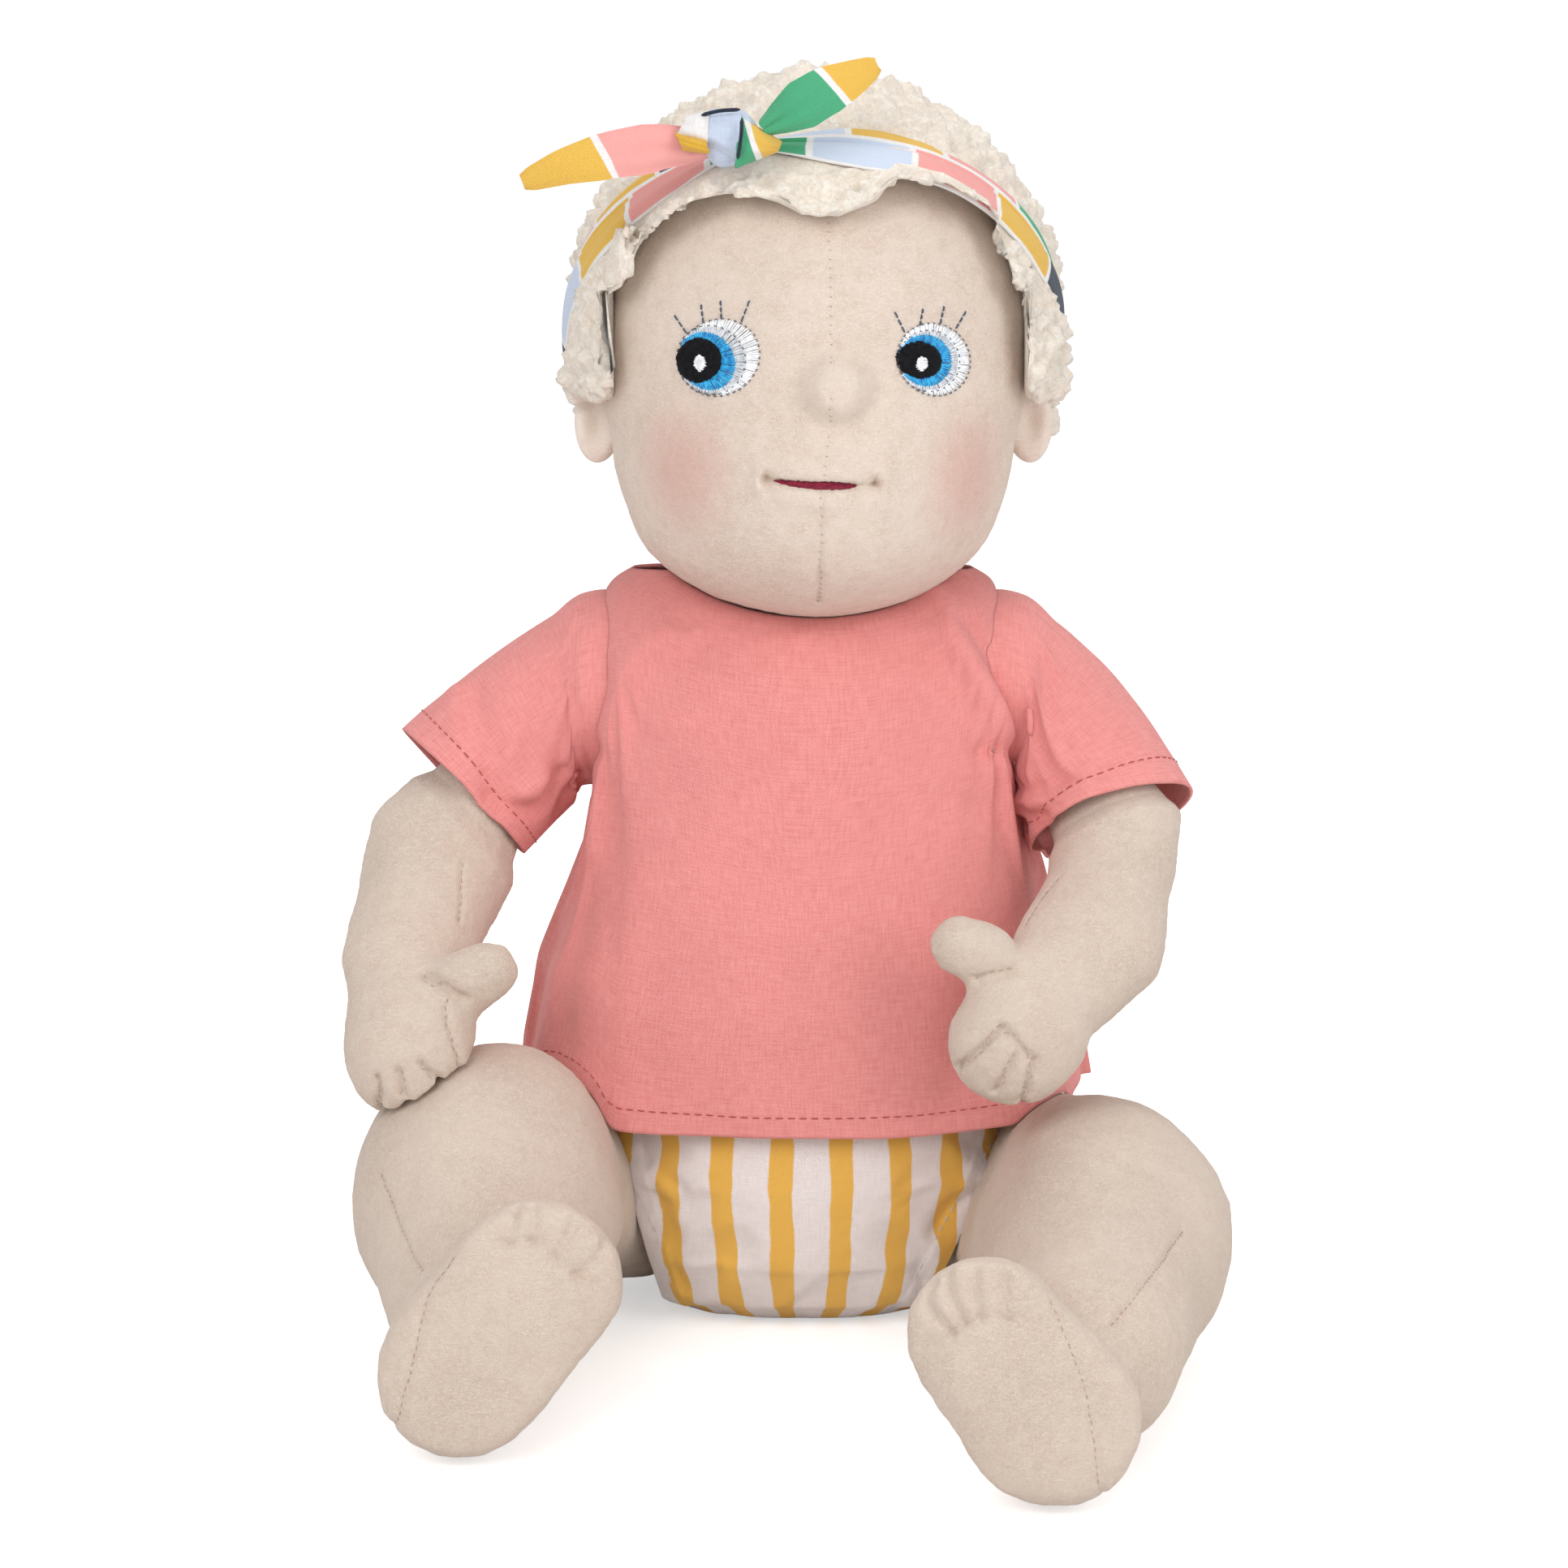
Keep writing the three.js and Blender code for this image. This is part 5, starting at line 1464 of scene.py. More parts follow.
def even_angles(start, end, rung):
    """Angles that are an even length of cloth apart."""
    trial = np.linspace(start, end, 400)
    lengths = walked(shirt_point(trial, np.full(400, float(rung))))
    return lambda share: np.interp(share, lengths / lengths[-1], trial)


def shirt_shape(from_angle, to_angle):
    angle_at = even_angles(from_angle, to_angle, 90)

    def shape(across, up):
        angle = angle_at(across)
        columns = np.unique(angle.round(6))
        tops = evened(neckline_rung(columns), 3)
        placed = shirt_point(angle, up * np.interp(angle, columns, tops))
        rise = 3.0 * np.cos(angle) ** 2
        hem = np.array([max(HEM + rise_here, lap_at(x, y) + CLOTH_OFF) if near > 0 else 0
                        for x, y, rise_here, near in zip(placed[:, 0], placed[:, 1], rise, 0.5 - up)])
        lifted = np.clip(hem - HEM, 0, None) * np.clip(1 - up / 0.45, 0, 1) ** 1.3
        placed[:, 2] += np.where(up < 0.45, lifted, 0)
        placed[:, 0] += 3.4 * np.clip(np.cos(angle), 0, 1) * np.exp(-((placed[:, 2] - 124) / 17) ** 2)
        wave = 1.0 * np.cos(angle * 9) * np.clip(1 - up / 0.6, 0, 1)
        placed[:, 0] += np.cos(angle) * wave
        placed[:, 1] += np.sin(angle) * wave
        placed[:, 2] -= np.clip(CLOTH_OFF - skull_field(placed), 0, 8) * (placed[:, 2] > 178)
        return placed
    return shape


BODY_NODES = ("torso_front", "torso_back", "right_leg", "left_leg")
bodies_inside = [copy_of("inside_" + node, node) for node in BODY_NODES]
ARMHOLE_Z, ARMHOLE_R = 167.0, 27.0
SHIRT_ROWS, SHIRT_THICKNESS = 76, 0.0009
PANELS = {
    "shirt_front_cotton": (math.pi, 2 * math.pi, 110, "shirt_front"),
    "shirt_back_left_cotton": (0.003, math.pi / 2 - 0.004, 56, "shirt_back_left"),
    "shirt_back_right_cotton": (math.pi / 2 + 0.004, math.pi - 0.003, 56, "shirt_back_right"),
}
SHIRT_FOLDS = [
    ([(1150, 735), (1192, 806), (1230, 876), (1244, 908)], -1.5, 4.5),
    ([(1192, 770), (1226, 826), (1246, 880)], 1.5, 3.6),
    ([(1205, 928), (1230, 922), (1248, 924)], 1.2, 2.6),
    ([(1035, 992), (1120, 988), (1213, 994)], 0.5, 3.0),
    ([(740, 850), (775, 880), (806, 930), (835, 990)], 0.8, 7.0),
    ([(728, 905), (742, 930), (745, 980)], 1.0, 3.0),
    ([(800, 1340), (792, 1250), (806, 1150)], 0.7, 8.0),
    ([(1080, 1360), (1092, 1270), (1082, 1190)], 0.7, 9.0),
    ([(925, 1370), (930, 1290), (922, 1220)], -0.6, 9.0),
    ([(690, 1270), (705, 1180), (716, 1080)], 0.9, 6.0),
    ([(1180, 1330), (1205, 1200), (1222, 1090)], 0.8, 7.0)]


def from_armhole(spots):
    """How far each place lies outside the round armhole, seen from the side."""
    return np.hypot(spots[:, 1], spots[:, 2] - ARMHOLE_Z) - ARMHOLE_R


shirt_lines = []
for name, (start, end, columns, node) in PANELS.items():
    panel = cut_panel(name, columns, SHIRT_ROWS, shirt_shape(start, end))
    face_out(panel, (1, 0, 120))
    across, up = shares_of(panel)
    spots = draft(points_of(panel))
    beside_arm = np.abs(spots[:, 0] - MIDDLE) > 38
    edge = (up > 0.94) | ((from_armhole(spots) < 5) & beside_arm) | (across < 0.012) | (across > 0.988)
    grow(panel, blobs(points_of(panel), 0.02, 9) * 0.0006 * ~edge)
    simulate(panel, edge.astype(float), 20, 0.004, slack=0.02, weight=1.0, colliders=bodies_inside,
             bending=2.5)
    spots = draft(points_of(panel))
    for column in np.unique(across):
        strip = across == column
        x, y, z = spots[strip][np.argmin(up[strip])]
        fall = max(HEM, lap_at(x, y) + CLOTH_OFF) - z
        spots[strip, 2] += np.clip(fall, -8, 8) * np.clip(1 - up[strip] / 0.3, 0, 1) ** 1.5
    set_points(panel, place(spots))
    if node == "shirt_front":
        press(panel, [(places, depth * 1.7, width) for places, depth, width in SHIRT_FOLDS])
    spots = draft(points_of(panel))
    seam_pull = np.exp(-(np.clip(from_armhole(spots), 0, None) / 1.3) ** 2) * beside_arm
    grow(panel, -np.where(spots[:, 0] > MIDDLE, 0.7, 0.1) * seam_pull / 1000)
    shirt_lines.append(row_of(panel, 3 / SHIRT_ROWS))
    thicken(panel, SHIRT_THICKNESS)
    for _, sign in SIDES:
        cutter = new_piece("armhole", bpy.ops.mesh.primitive_cylinder_add,
                           vertices=128, radius=ARMHOLE_R / 1000, depth=0.05, rotation=(0, math.pi / 2, 0),
                           location=place((MIDDLE + sign * 62, 0, ARMHOLE_Z)))
        modify(panel, "BOOLEAN", operation="DIFFERENCE", object=cutter, solver="EXACT")
        bpy.data.objects.remove(cutter)
    smooth_shaded(panel)
    dress(panel, coral_cotton, "torso", "coral_cotton", node)

# %% Shirt stitches
HEM_STITCH, HEM_THREAD, HEM_STEP = (0.0022, 0.0009, 0.00020), 0.00017, 0.0006


def hem_stitches(path, outward):
    """Stitches along a hem, walked in even steps."""
    lengths = walked(path)
    at = np.arange(0, lengths[-1], HEM_STEP)
    return stitches_along(read_off(at, lengths, path), read_off(at, lengths, outward), *HEM_STITCH)


runs = []
for line in shirt_lines:
    runs += hem_stitches(*line)
dress(thread("shirt_stitches", runs, HEM_THREAD), coral_thread, "torso", "coral_cotton")

# %% [markdown]
# ## Sleeves
# A sleeve is a tube of the same cotton. It is sewn in at the armhole, so its first rows follow the body, and
# it is free at the hem. With a little slack it buckles into the creases under the arm.

# %% Sleeves
SLEEVES = {"right": (-1, 23.8, (-70, -1, 163)), "left": (1, 23.6, (70, -3, 161))}
SLEEVE_START, SLEEVE_SLACK, SLEEVE_ROWS = 60.0, 2.5, 46
SEWN_SHARE = 0.07


def sleeve_shape(side, sign, cuff_radius, control):
    """A tube that bends from the armhole over a control point to the cuff."""
    root, root_axis = np.array([MIDDLE + sign * SLEEVE_START, 0, ARMHOLE_Z]), np.array([sign, 0.0, 0.0])
    cuff, cuff_axis = [np.array(values, float) for values in CUFFS[side]]
    cuff_axis /= np.linalg.norm(cuff_axis)
    control = np.array(control, float)

    def shape(across, up):
        placed = np.empty((len(across), 3))
        for i, (turn_share, share) in enumerate(zip(across, up)):
            angle = 2 * math.pi * turn_share
            t = max((share - SEWN_SHARE) / (1 - SEWN_SHARE), 0.0)
            centre = (1 - t) ** 2 * root + 2 * t * (1 - t) * control + t * t * cuff
            axis = root_axis * (1 - t) + cuff_axis * t
            axis /= np.linalg.norm(axis)
            over = np.array([0, 1.0, 0]) - axis * axis[1]
            over /= np.linalg.norm(over)
            beside = np.cross(over, axis) * sign
            radius = (ARMHOLE_R - 0.5) * (1 - t) + cuff_radius * t
            radius -= SLEEVE_SLACK * math.sin(math.pi * t) * 0.5
            spot = centre + (over * math.cos(angle) + beside * math.sin(angle)) * radius
            y, z = ARMHOLE_R * math.cos(angle), ARMHOLE_Z - ARMHOLE_R * math.sin(angle)
            inset = 0.3 + 5.0 * (share / SEWN_SHARE - 1) * (share < SEWN_SHARE)
            seam = MIDDLE + sign * float(side_of_shirt(y, z)) + sign * inset
            sewn = np.array([seam, y * 0.985, ARMHOLE_Z + (z - ARMHOLE_Z) * 0.985])
            near = np.clip(1 - t / 0.2, 0, 1) ** 1.5 if share >= SEWN_SHARE else 1.0
            placed[i] = spot * (1 - near) + sewn * near
        return placed
    return shape


ARMHOLE_SEAMS = {
    "right": [([(722, 742), (706, 790), (703, 827), (708, 870), (716, 890), (732, 954)], 0.9, 1.1)],
    "left": [],
}
SLEEVE_FOLDS = {
    "right": [
        ([(582, 859), (590, 905), (602, 950), (617, 984)], 1.3, 4.5),
        ([(604, 982), (639, 997), (668, 999), (676, 980), (692, 954)], 1.8, 2.4),
        ([(560, 850), (568, 900), (585, 950)], -0.8, 4.0),
        ([(640, 978), (660, 975), (668, 962)], -1.4, 3.0),
        ([(712, 958), (700, 975), (690, 1000)], 1.2, 2.5)],
    "left": [
        ([(1240, 992), (1290, 988), (1335, 972)], -1.3, 3.2),
        ([(1246, 1008), (1290, 1006), (1330, 990)], 1.5, 2.8),
        ([(1236, 975), (1275, 972), (1310, 962)], 1.1, 2.6),
        ([(1246, 1030), (1262, 1048), (1272, 1062)], 1.2, 2.6),
        ([(1262, 880), (1275, 925), (1282, 960)], 0.7, 5.0)],
}
for side, (sign, cuff_radius, control) in SLEEVES.items():
    shape = sleeve_shape(side, sign, cuff_radius, control)
    tube = cut_panel(side + "_sleeve_cotton", 120, SLEEVE_ROWS, shape, closed=True)
    face_out(tube, (np.array(CUFFS[side][0]) + np.array([sign * SLEEVE_START, 0, ARMHOLE_Z])) / 2)
    _, up = shares_of(tube)
    inside = copy_of("inside_arm", side + "_arm")
    set_points(inside, swung(side, points_of(inside)))
    grow(tube, blobs(points_of(tube), 0.016, 12) * 0.0006 * np.clip((up - 0.2) * 4, 0, 1))
    simulate(tube, np.clip(1.6 - up * 6, 0, 1), 18, 0.0028, slack=0.02, weight=1.0, colliders=[inside],
             bending=2.0)
    bpy.data.objects.remove(inside)
    relax(tube, 2, np.clip((up - 0.1) * 5, 0, 1))
    folds = [(places, depth * 1.5, width) for places, depth, width in SLEEVE_FOLDS[side]]
    press(tube, folds + ARMHOLE_SEAMS[side])
    hem = [np.r_[values, values[:1]] for values in row_of(tube, 1 - 3.6 / SLEEVE_ROWS)]
    thicken(tube, SHIRT_THICKNESS)
    dress(tube, coral_cotton, side + "_arm", "coral_cotton", side + "_sleeve")
    hem_thread = thread(side + "_sleeve_stitches", hem_stitches(*hem), HEM_THREAD)
    dress(hem_thread, coral_thread, side + "_arm", "coral_cotton")

for solid in bodies_inside:
    bpy.data.objects.remove(solid)

# %% [markdown]
# ## Back opening
# The shirt closes down the back with a lap and two tapes. Each is a strip of cloth laid on the back of the
# solid that stands for it, and kept under the panel that laps over it.

# %% Back opening
shirt_lap = tree_of(bpy.data.objects["shirt_back_right_cotton"])


def strip_on(node, under):
    """A strip of cloth laid on the outside of a CAD strip, a little inside its edge and under the lap."""
    guide = copy_of("strip_guide", node)
    tree, spots = tree_of(guide), draft(points_of(guide))
    bpy.data.objects.remove(guide)
    low, high = spots.min(0) + 0.3, spots.max(0) - 0.3

    def shape(across, up):
        placed = np.stack([low[0] + (high[0] - low[0]) * across, np.full_like(across, high[1]),
                           low[2] + (high[2] - low[2]) * up], 1)
        for spot in placed:
            start = Vector(place((spot[0], 150, spot[2])))
            hit = tree.ray_cast(start, Vector((0, -1, 0)))[0] or tree.find_nearest(Vector(place(spot)))[0]
            spot[1] = draft(hit)[1]
            lap = shirt_lap.ray_cast(Vector(place((spot[0], 10, spot[2]))), Vector((0, 1, 0)))[0]
            if lap is not None:
                spot[1] = min(spot[1], draft(lap)[1] - under)
        return placed
    strip = cut_panel(node + "_strip", 12, 60, shape)
    face_out(strip, (1, 0, 110))
    thicken(strip, 0.0007)
    return strip


for node, material, slot, rests_on, under in (
        ("shirt_placket", coral_cotton, "coral_cotton", "shirt_back_left_cotton", 2.6),
        ("closure_hooks", hook_tape, "hook_tape", "shirt_back_right_cotton", 0.8),
        ("closure_loops", hook_tape, "hook_tape", "shirt_placket_strip", 1.7)):
    strip = strip_on(node, under)
    dress(strip, material, "torso", slot, node)

# %% [markdown]
# ## Shorts
# The shorts are a cup of striped cotton round the hips, in a front and a back half. Each half follows the
# body's outline, closes in under the seat and is cut off at both leg seams. Its slack gathers into folds that
# run up from the legs.

# %% Shorts
TORSO = np.array([[1.5, 40, -42, 38], [7, 50, -52, 48], [20, 55.5, -58, 54],
                  [42, 58, -61, 56], [66, 57, -61, 55], [84, 56, -59, 52]])
TORSO_POWER = 2 / 2.6
CLOTH_OUT = 1.3
SEAT_SHARE, SIDE_SHARE = 0.32, 0.68
SHORTS_LOW, SHORTS_HIGH = 1.5, 74.6
SEAT_CORE = np.array([1, 0, 40])
HIPS = [(np.array(hip), np.array(axis) / np.linalg.norm(axis))
        for hip, axis in (((-44, -8, 33), (-0.96, 0, -0.27)), ((46, -8, 32), (0.9, 0, -0.42)))]


def hip_gap(spots):
    """How far each place lies from the nearer leg seam's plane."""
    return np.min([np.abs((spots - hip) @ axis) for hip, axis in HIPS], 0)


def shorts_shape(start, end):
    trial = np.linspace(start, end, 400)
    c, s = np.cos(trial), np.sin(trial)
    lengths = walked(np.c_[np.sign(c) * np.abs(c) ** TORSO_POWER * 58, np.abs(s) ** TORSO_POWER * 60])

    def shape(across, up):
        angle = np.interp(across, lengths / lengths[-1], trial)
        z = SHORTS_LOW + (SHORTS_HIGH - SHORTS_LOW) * np.clip((up - SEAT_SHARE) / SIDE_SHARE, 0, 1)
        half, front_depth, back_depth = read_off(z, TORSO[:, 0], TORSO[:, 1:]).T
        spread = np.clip(up / SEAT_SHARE, 0, 1)
        c, s = np.cos(angle), np.sin(angle)
        x = MIDDLE + np.sign(c) * np.abs(c) ** TORSO_POWER * (half + CLOTH_OUT) * spread
        depth = np.where(s < 0, front_depth - CLOTH_OUT, back_depth + CLOTH_OUT)
        y = np.abs(s) ** TORSO_POWER * depth * spread
        z = np.where(up < SEAT_SHARE, 0.25, z)
        corner = np.exp(-((up - SEAT_SHARE) / 0.05) ** 2)
        return np.stack([x, y, z + 0.6 * corner], 1)
    return shape


SHORTS_HEMS = [
    [(764, 1422), (783, 1463), (800, 1500), (814, 1532), (828, 1583)],
    [(1222, 1408), (1204, 1440), (1180, 1478), (1152, 1526), (1126, 1580)]]
SHORTS_FOLDS = [
    ([(790, 1425), (812, 1442), (835, 1462)], 1.2, 2.4),
    ([(806, 1440), (826, 1470), (838, 1500)], -0.9, 2.6),
    ([(1195, 1470), (1170, 1492), (1150, 1520)], 1.1, 2.4),
    ([(1215, 1445), (1180, 1462), (1150, 1480)], -0.8, 2.6),
    ([(905, 1620), (915, 1560), (910, 1500)], 0.5, 4.0)]
for node, start in (("shorts_front", math.pi), ("shorts_back", 0.0)):
    name = node + "_cotton"
    cup = cut_panel(name, 150, 84, shorts_shape(start, start + math.pi), widest=True)
    only(cup)
    bpy.ops.object.mode_set(mode="EDIT")
    bpy.ops.mesh.select_all(action="SELECT")
    bpy.ops.mesh.remove_doubles(threshold=2e-5)
    for hip, axis in HIPS:
        bpy.ops.mesh.select_all(action="SELECT")
        bpy.ops.mesh.bisect(plane_co=place(hip - axis * 0.2), plane_no=axis, clear_outer=True)
    bpy.ops.object.mode_set(mode="OBJECT")
    flats[name]["area"] = sum(face.area for face in cup.data.polygons)
    face_out(cup, SEAT_CORE)
    spots = draft(points_of(cup))
    _, up = shares_of(cup)
    from_hip = hip_gap(spots)
    held = (spots[:, 2] < 2) | (up > 0.97) | (from_hip < 1.5) | (np.abs(spots[:, 1]) < 1.0)
    near_hem = np.exp(-(from_hip / 14) ** 2)
    turn = (spots[:, 2] * 0.9 + np.abs(spots[:, 0] - MIDDLE) * 0.55) * 0.33
    fold = np.sin(turn + blobs(points_of(cup), 0.02, 3) * 2.4)
    away = np.clip((from_hip - 1) / 6, 0, 1) * np.clip((spots[:, 2] - 3) / 8, 0, 1)
    grow(cup, (0.7 * fold * near_hem + 0.25 * blobs(points_of(cup), 0.011, 15)) * away / 1000)
    simulate(cup, held.astype(float), 14, 0.0018, slack=0.02, pressure=0.5, bending=1.5)
    if node == "shorts_front":
        for places, depth, width in SHORTS_FOLDS:
            crease(cup, traced(cup, places), depth / 1000, width / 1000)
    thicken(cup, 0.0008)
    fine = draft(points_of(cup))
    raised = np.clip((6.6 - hip_gap(fine)) / 0.6, 0, 1) * 0.5
    outward = fine - SEAT_CORE
    outward /= np.linalg.norm(outward, axis=1)[:, None]
    fine += outward * raised[:, None] * np.clip((fine[:, 2] - 1) / 3, 0, 1)[:, None]
    fine[:, 2] = np.maximum(fine[:, 2], 0.1)
    set_points(cup, place(fine))
    dress(cup, striped_cotton, "torso", "striped_cotton", node)
    if node == "shorts_front":
        hems = seam_stitches(cup, [traced(cup, places) for places in SHORTS_HEMS], 0.0023, 0.0008, 0.0002)
        dress(thread("shorts_stitches", hems, 0.00019), white_thread, "torso", "striped_cotton")


def waist_shape(across, up):
    outline = shorts_shape(0, 2 * math.pi)(across, np.ones_like(across))
    return np.c_[outline[:, :2], 75.4 + 8.4 * up]


waist = cut_panel("waistband_cotton", 160, 6, waist_shape, closed=True)
face_out(waist, (1, 0, 80))
across, up = shares_of(waist)
ruffle = 0.35 * np.sin(across * 2 * math.pi * 64) * (0.4 + 0.6 * np.abs(up - 0.5) * 2)
grow(waist, ruffle / 1000)
thicken(waist, 0.0014)
dress(waist, striped_cotton, "torso", "striped_cotton", "shorts_waistband")

# %% [markdown]
# ## Headband
# The band is one length of cotton, folded so that its lower half laps over its upper half, then tied. Its
# path is read off the CAD band and the hair, and the fold is drawn across it. It narrows where it runs into
# the knot.

# %% Headband
BAND_FRONT = np.array([0, -math.sin(BAND_LEAN), math.cos(BAND_LEAN)])
BAND_WIDTH, BAND_RADIUS = 17.0, 74.0
BAND_OFF_HAIR, BAND_SUNK = 1.6, 5.0
AVERAGED = 6
KNOT = np.array([-16, -50, NECK_SEAM + 134])
KNOT_ANGLE = math.atan2((KNOT - BAND_CENTRE) @ BAND_FRONT, (KNOT - BAND_CENTRE)[0])
band_guide = copy_of("band_guide", "headband_band")
band_trees = [tree_of(piece) for piece in (band_guide, hair, head)]
bpy.data.objects.remove(band_guide)


def band_radius(angle, offset):
    """How far the band's outside lies from its axis: just off the hair, and never outside the CAD band."""
    out = np.array([math.cos(angle), 0, 0]) + BAND_FRONT * math.sin(angle)
    base = BAND_CENTRE + BAND_OFF * offset
    start = Vector(place(base + out * 130))
    hits = [tree.ray_cast(start, Vector(-out))[0] for tree in band_trees]
    reach = [float(np.linalg.norm(draft(hit) - base)) if hit is not None else 0.0 for hit in hits]
    solid = reach[0] or BAND_RADIUS
    return float(np.clip(max(reach[1:]) + BAND_OFF_HAIR, solid - BAND_SUNK, solid))


angles = np.linspace(0, 2 * math.pi, 145)
radii = np.array([[band_radius(a, share * (BAND_WIDTH / 2 - 0.6)) for share in (-1, 0, 1)] for a in angles])
wrapped = np.r_[radii[-AVERAGED - 1:-1], radii, radii[1:AVERAGED + 1]]
radii = np.stack([wrapped[i:i + 2 * AVERAGED + 1].mean(0) for i in range(len(radii))])


def band_shape(across, up):
    angle = 2 * math.pi * across
    gap = np.abs((angle - KNOT_ANGLE + math.pi) % (2 * math.pi) - math.pi)
    narrow = 1 - 0.66 * np.exp(-(gap / 0.28) ** 2)
    side = up * 2 - 1
    offset = side * BAND_WIDTH / 2 * narrow
    low, mid, high = read_off(angle, angles, radii).T
    radius = np.where(side < 0, mid + (low - mid) * -side, mid + (high - mid) * side)
    step = 1 / (1 + np.exp((side - 0.12) / 0.05))
    fold = 0.55 * step - 0.9 * np.exp(-((side - 0.16) / 0.06) ** 2)
    roll = -1.1 * np.abs(side) ** 6
    ripple = 0.35 * np.sin(side * 9 + angle * 3) * np.exp(-(gap / 0.7) ** 2)
    ripple = ripple + 0.22 * np.sin(side * 5 + angle * 7)
    gather = 1.2 * np.exp(-(gap / 0.2) ** 2)
    lift = radius - 0.7 + fold + roll + ripple + gather
    out = np.outer(np.cos(angle), (1, 0, 0)) + np.outer(np.sin(angle), BAND_FRONT)
    return BAND_CENTRE + BAND_OFF * offset[:, None] + out * lift[:, None]


band = cut_panel("headband_cotton", 288, 30, band_shape, closed=True)
face_out(band, BAND_CENTRE)
thicken(band, 0.0011)
dress(band, band_cotton, "headband", "band_cotton", "headband_band")

# %% [markdown]
# The tails are leaf-shaped ends of the same cloth, doubled, with a pleat that runs out from the knot. The
# knot is a turn of cloth wrapped round them, gathered into ridges.

# %% Tails and knot
TAIL_HALF = 6.2
TAIL_SHARES = [0, 0.12, 0.35, 0.6, 0.82, 0.95, 1]
TAILS = {
    "right": ([(-23, -51, 316), (-34, -55, 316.5), (-48, -58.5, 314.5), (-60, -57.5, 311.5),
               (-70.5, -56, 307.5)], [0.4, 0.75, 1.0, 0.9, 0.64, 0.44, 0.24]),
    "left": ([(-9, -54, 321), (-1, -57, 326), (5.5, -58, 330), (13, -57, 333.5),
              (19.5, -56, 337)], [0.3, 0.6, 1.0, 0.95, 0.66, 0.42, 0.2]),
}


def tail_shape(path, widths):
    """A dished leaf of cloth along a path, pleated where it leaves the knot."""
    path = fine_line(path, 1.0)
    known = np.linspace(0, 1, len(path))

    def shape(across, up):
        ahead = read_off(np.clip(across + 0.02, 0, 1), known, path)
        behind = read_off(np.clip(across - 0.02, 0, 1), known, path)
        tangent = (ahead - behind) / np.linalg.norm(ahead - behind, axis=1)[:, None]
        thick = np.array([0, 1, 0]) - tangent * tangent[:, 1:2]
        thick /= np.linalg.norm(thick, axis=1)[:, None]
        wide = np.cross(tangent, thick)
        leaf = np.interp(across, TAIL_SHARES, widths) * TAIL_HALF
        side = up * 2 - 1
        dish = 1.5 * (np.abs(side) ** 1.6) * (1 - 0.4 * across) - 0.8
        dish = dish + 0.9 * np.exp(-across / 0.28) * np.cos(side * 7)
        return read_off(across, known, path) + wide * (leaf * side)[:, None] + thick * dish[:, None]
    return shape


for side, (path, widths) in TAILS.items():
    leaf_piece = cut_panel("headband_" + side + "_tail_cotton", 56, 22, tail_shape(path, widths))
    if normals_of(leaf_piece)[:, 1].sum() > 0:
        leaf_piece.data.flip_normals()
    subdivide(leaf_piece, 1)
    modify(leaf_piece, "SOLIDIFY", thickness=0.0018, offset=0.0)
    modify(leaf_piece, "BEVEL", width=0.0004, segments=2, limit_method="ANGLE")
    smooth_shaded(leaf_piece)
    dress(leaf_piece, tail_cottons[side], "headband", "band_cotton", "headband_" + side + "_tail")

knot = ball_of("headband_knot_cotton", 26)
form = points_of(knot)
turned = math.radians(20)
along = form[:, 0] * math.cos(turned) + form[:, 2] * math.sin(turned)
beside = -form[:, 0] * math.sin(turned) + form[:, 2] * math.cos(turned)
ridges = 0.05 * np.cos(along * 9 + 1.4 * form[:, 1] + beside * 0.8) * (1 - along ** 2)
pinched = 1 - 0.18 * along ** 4 + ridges
shaped = np.stack([form[:, 0] * 9.6 - 2.2, form[:, 1] * 7.4, form[:, 2] * 7.6], 1) * pinched[:, None]
set_points(knot, place(KNOT + shaped))
subdivide(knot, 1)
corners = np.empty(len(knot.data.loops), int)
knot.data.loops.foreach_get("vertex_index", corners)
knot.data.uv_layers[0].data.foreach_set("uv", points_of(knot)[corners][:, [0, 2]].ravel())
smooth_shaded(knot)
dress(knot, pale_cotton, "headband", "band_cotton", "headband_knot")


def at_depth(column, row, y):
    """The place on a line of sight that lies at a given depth, in draft millimetres."""
    ray = sight(column, row)
    return draft(EYE_POINT + ray * (place((0, y, 0))[1] - EYE_POINT[1]) / ray[1])


def fold_shape(corners, bulge):
    """A bulging, pleated flap of cloth between four places in the picture."""
    low_left, low_right, high_left, high_right = [at_depth(*corner) for corner in corners]

    def shape(across, up):
        a, u = across[:, None], up[:, None]
        flap = (low_left * (1 - a) + low_right * a) * (1 - u) + (high_left * (1 - a) + high_right * a) * u
        crown = np.abs(np.sin(math.pi * up)) ** 0.6 * (0.62 + 0.38 * np.sin(math.pi * across))
        pleats = 0.3 * np.cos(up * 15 + across * 4) * np.sin(math.pi * up)
        flap[:, 1] -= bulge * crown + pleats
        return flap
    return shape


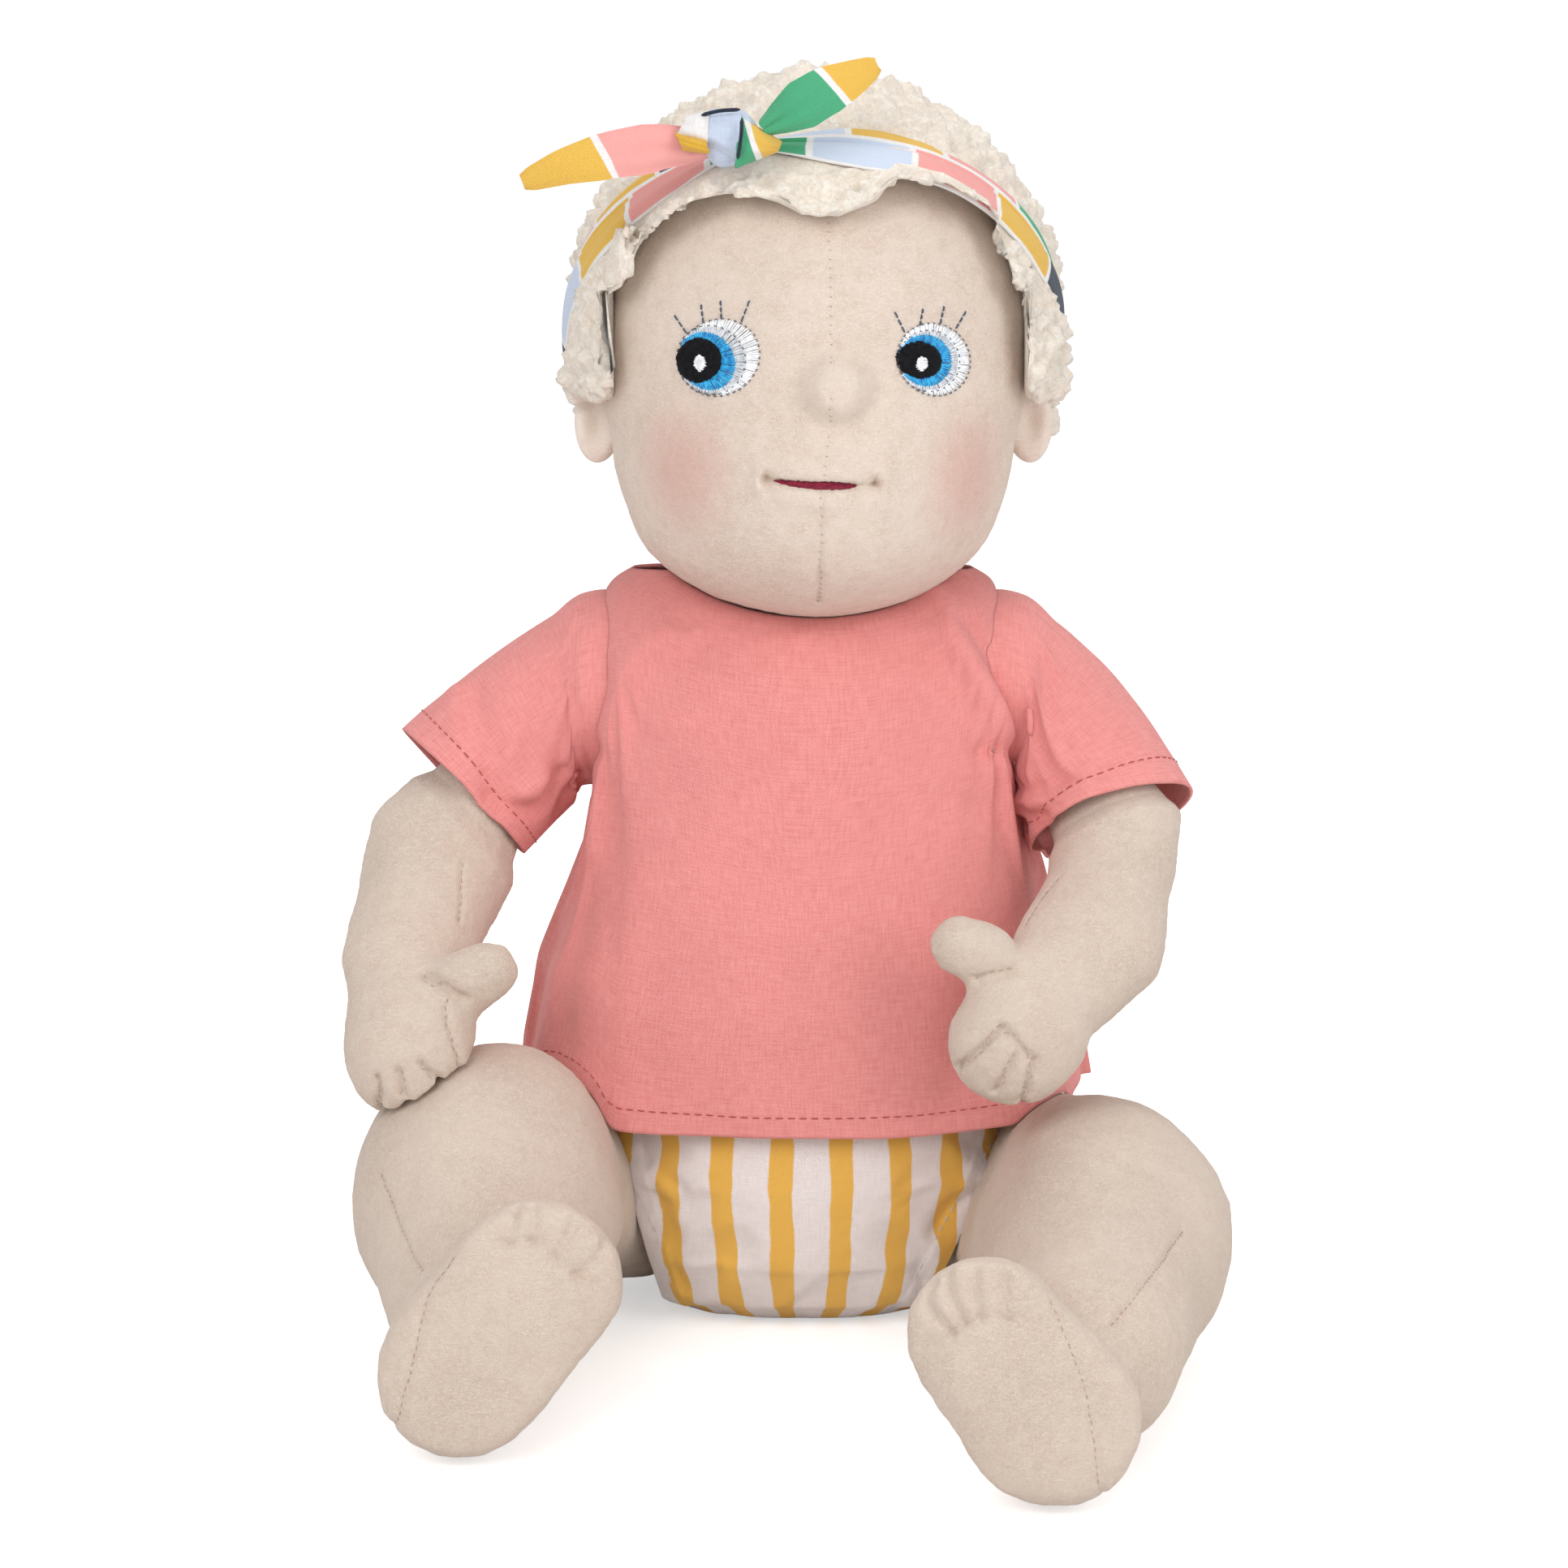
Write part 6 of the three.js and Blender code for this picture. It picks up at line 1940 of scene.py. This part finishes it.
# Each flap's four corners, as a column, a row and a depth, and how far it bulges
FLAPS = {
    "knot_wrap": ([(862, 178, -54), (910, 200, -55), (855, 141, -53), (914, 136, -54)], 6.2, pale_cotton),
    "knot_right_corner": (
        [(906, 208, -56), (958, 188, -54), (910, 142, -55), (964, 174, -54)], 4.6, fold_cotton),
    "knot_left_fold": (
        [(842, 186, -57), (874, 190, -58), (832, 162, -56), (870, 170, -58)], 4.2, yellow_cotton),
    "knot_upper_fold": (
        [(833, 168, -56), (872, 178, -58), (846, 142, -54), (874, 136, -55)], 4.4, white_cotton),
}
for name, (corners, bulge, material) in FLAPS.items():
    flap = cut_panel("headband_" + name, 26, 26, fold_shape(corners, bulge))
    if normals_of(flap)[:, 1].sum() > 0:
        flap.data.flip_normals()
    thicken(flap, 0.0009)
    dress(flap, material, "headband", "band_cotton")

KNOT_EDGES = ([(914, 146, -59.4), (914, 160, -61.2), (912, 178, -61.6), (909, 196, -58.8)],
              [(864, 142, -57.5), (886, 136, -58), (912, 135, -57.5)])
edges = [fine_line([place(at_depth(*spot)) for spot in edge], 0.0008) for edge in KNOT_EDGES]
dress(thread("headband_knot_edges", edges, 0.0005), navy_cotton, "headband", "band_cotton")

# %% [markdown]
# ## Stage
# A white floor, a white surround that only the camera and reflections see at full strength, and large soft
# lamps. The camera stands where the photograph was taken from: 1.3 metres away and 11 degrees above the
# doll's middle.

# %% Stage
SENSOR = 36  # millimetres
floor = new_piece("floor", bpy.ops.mesh.primitive_plane_add, size=60)
paper = Finish("paper", 1.0, specular=0.0)
paper.shader.inputs["Base Color"].default_value = (0.92, 0.92, 0.92, 1)
path_kind = paper.add("ShaderNodeLightPath", {}, {}, "Is Camera Ray")
glow = paper.add("ShaderNodeEmission", {}, {"Color": (1, 1, 1, 1), "Strength": path_kind * 0.5})
both = paper.add("ShaderNodeAddShader", {}, {0: Signal(paper, paper.shader.outputs[0]), 1: glow})
paper.tree.links.new(both.socket, paper.tree.nodes["Material Output"].inputs["Surface"])
floor.data.materials.append(paper.material)

world = bpy.data.worlds.new("surround")
bpy.context.scene.world = world
world.use_nodes = True
sky = world.node_tree
background = sky.nodes["Background"]
light_path = sky.nodes.new("ShaderNodeLightPath")
strength = sky.nodes.new("ShaderNodeMapRange")
strength.inputs["To Min"].default_value = 0.55
strength.inputs["To Max"].default_value = 1.0
seen = sky.nodes.new("ShaderNodeMath")
seen.operation = "MAXIMUM"
sky.links.new(light_path.outputs["Is Camera Ray"], seen.inputs[0])
sky.links.new(light_path.outputs["Is Glossy Ray"], seen.inputs[1])
sky.links.new(seen.outputs[0], strength.inputs["Value"])
sky.links.new(strength.outputs[0], background.inputs["Strength"])
background.inputs["Color"].default_value = (1, 1, 1, 1)
bpy.context.scene.view_settings.view_transform = "Standard"


def aim(thing, at):
    thing.rotation_euler = (Vector(at) - thing.location).to_track_quat("-Z", "Y").to_euler()


for name, offset, size, power in (("key", (-0.7, -1.7, 1.1), 1.2, 16.5), ("fill", (1.3, -1.3, 0.7), 1.4, 12),
                                  ("top", (0.1, 0.4, 1.7), 1.3, 7.5)):
    lamp = bpy.data.lights.new(name, "AREA")
    lamp.shape = "DISK"
    lamp.size = size
    lamp.energy = power
    lamp_object = bpy.data.objects.new(name, lamp)
    bpy.context.scene.collection.objects.link(lamp_object)
    lamp_object.location = TARGET + np.array(offset)
    aim(lamp_object, TARGET)

camera_data = bpy.data.cameras.new("camera")
camera_data.sensor_width = SENSOR
camera_data.sensor_fit = "HORIZONTAL"
camera_data.lens = SENSOR * DISTANCE / (PICTURE * PIXEL)
camera = bpy.data.objects.new("camera", camera_data)
bpy.context.scene.collection.objects.link(camera)
camera.location = EYE_POINT
aim(camera, TARGET)
bpy.context.scene.camera = camera
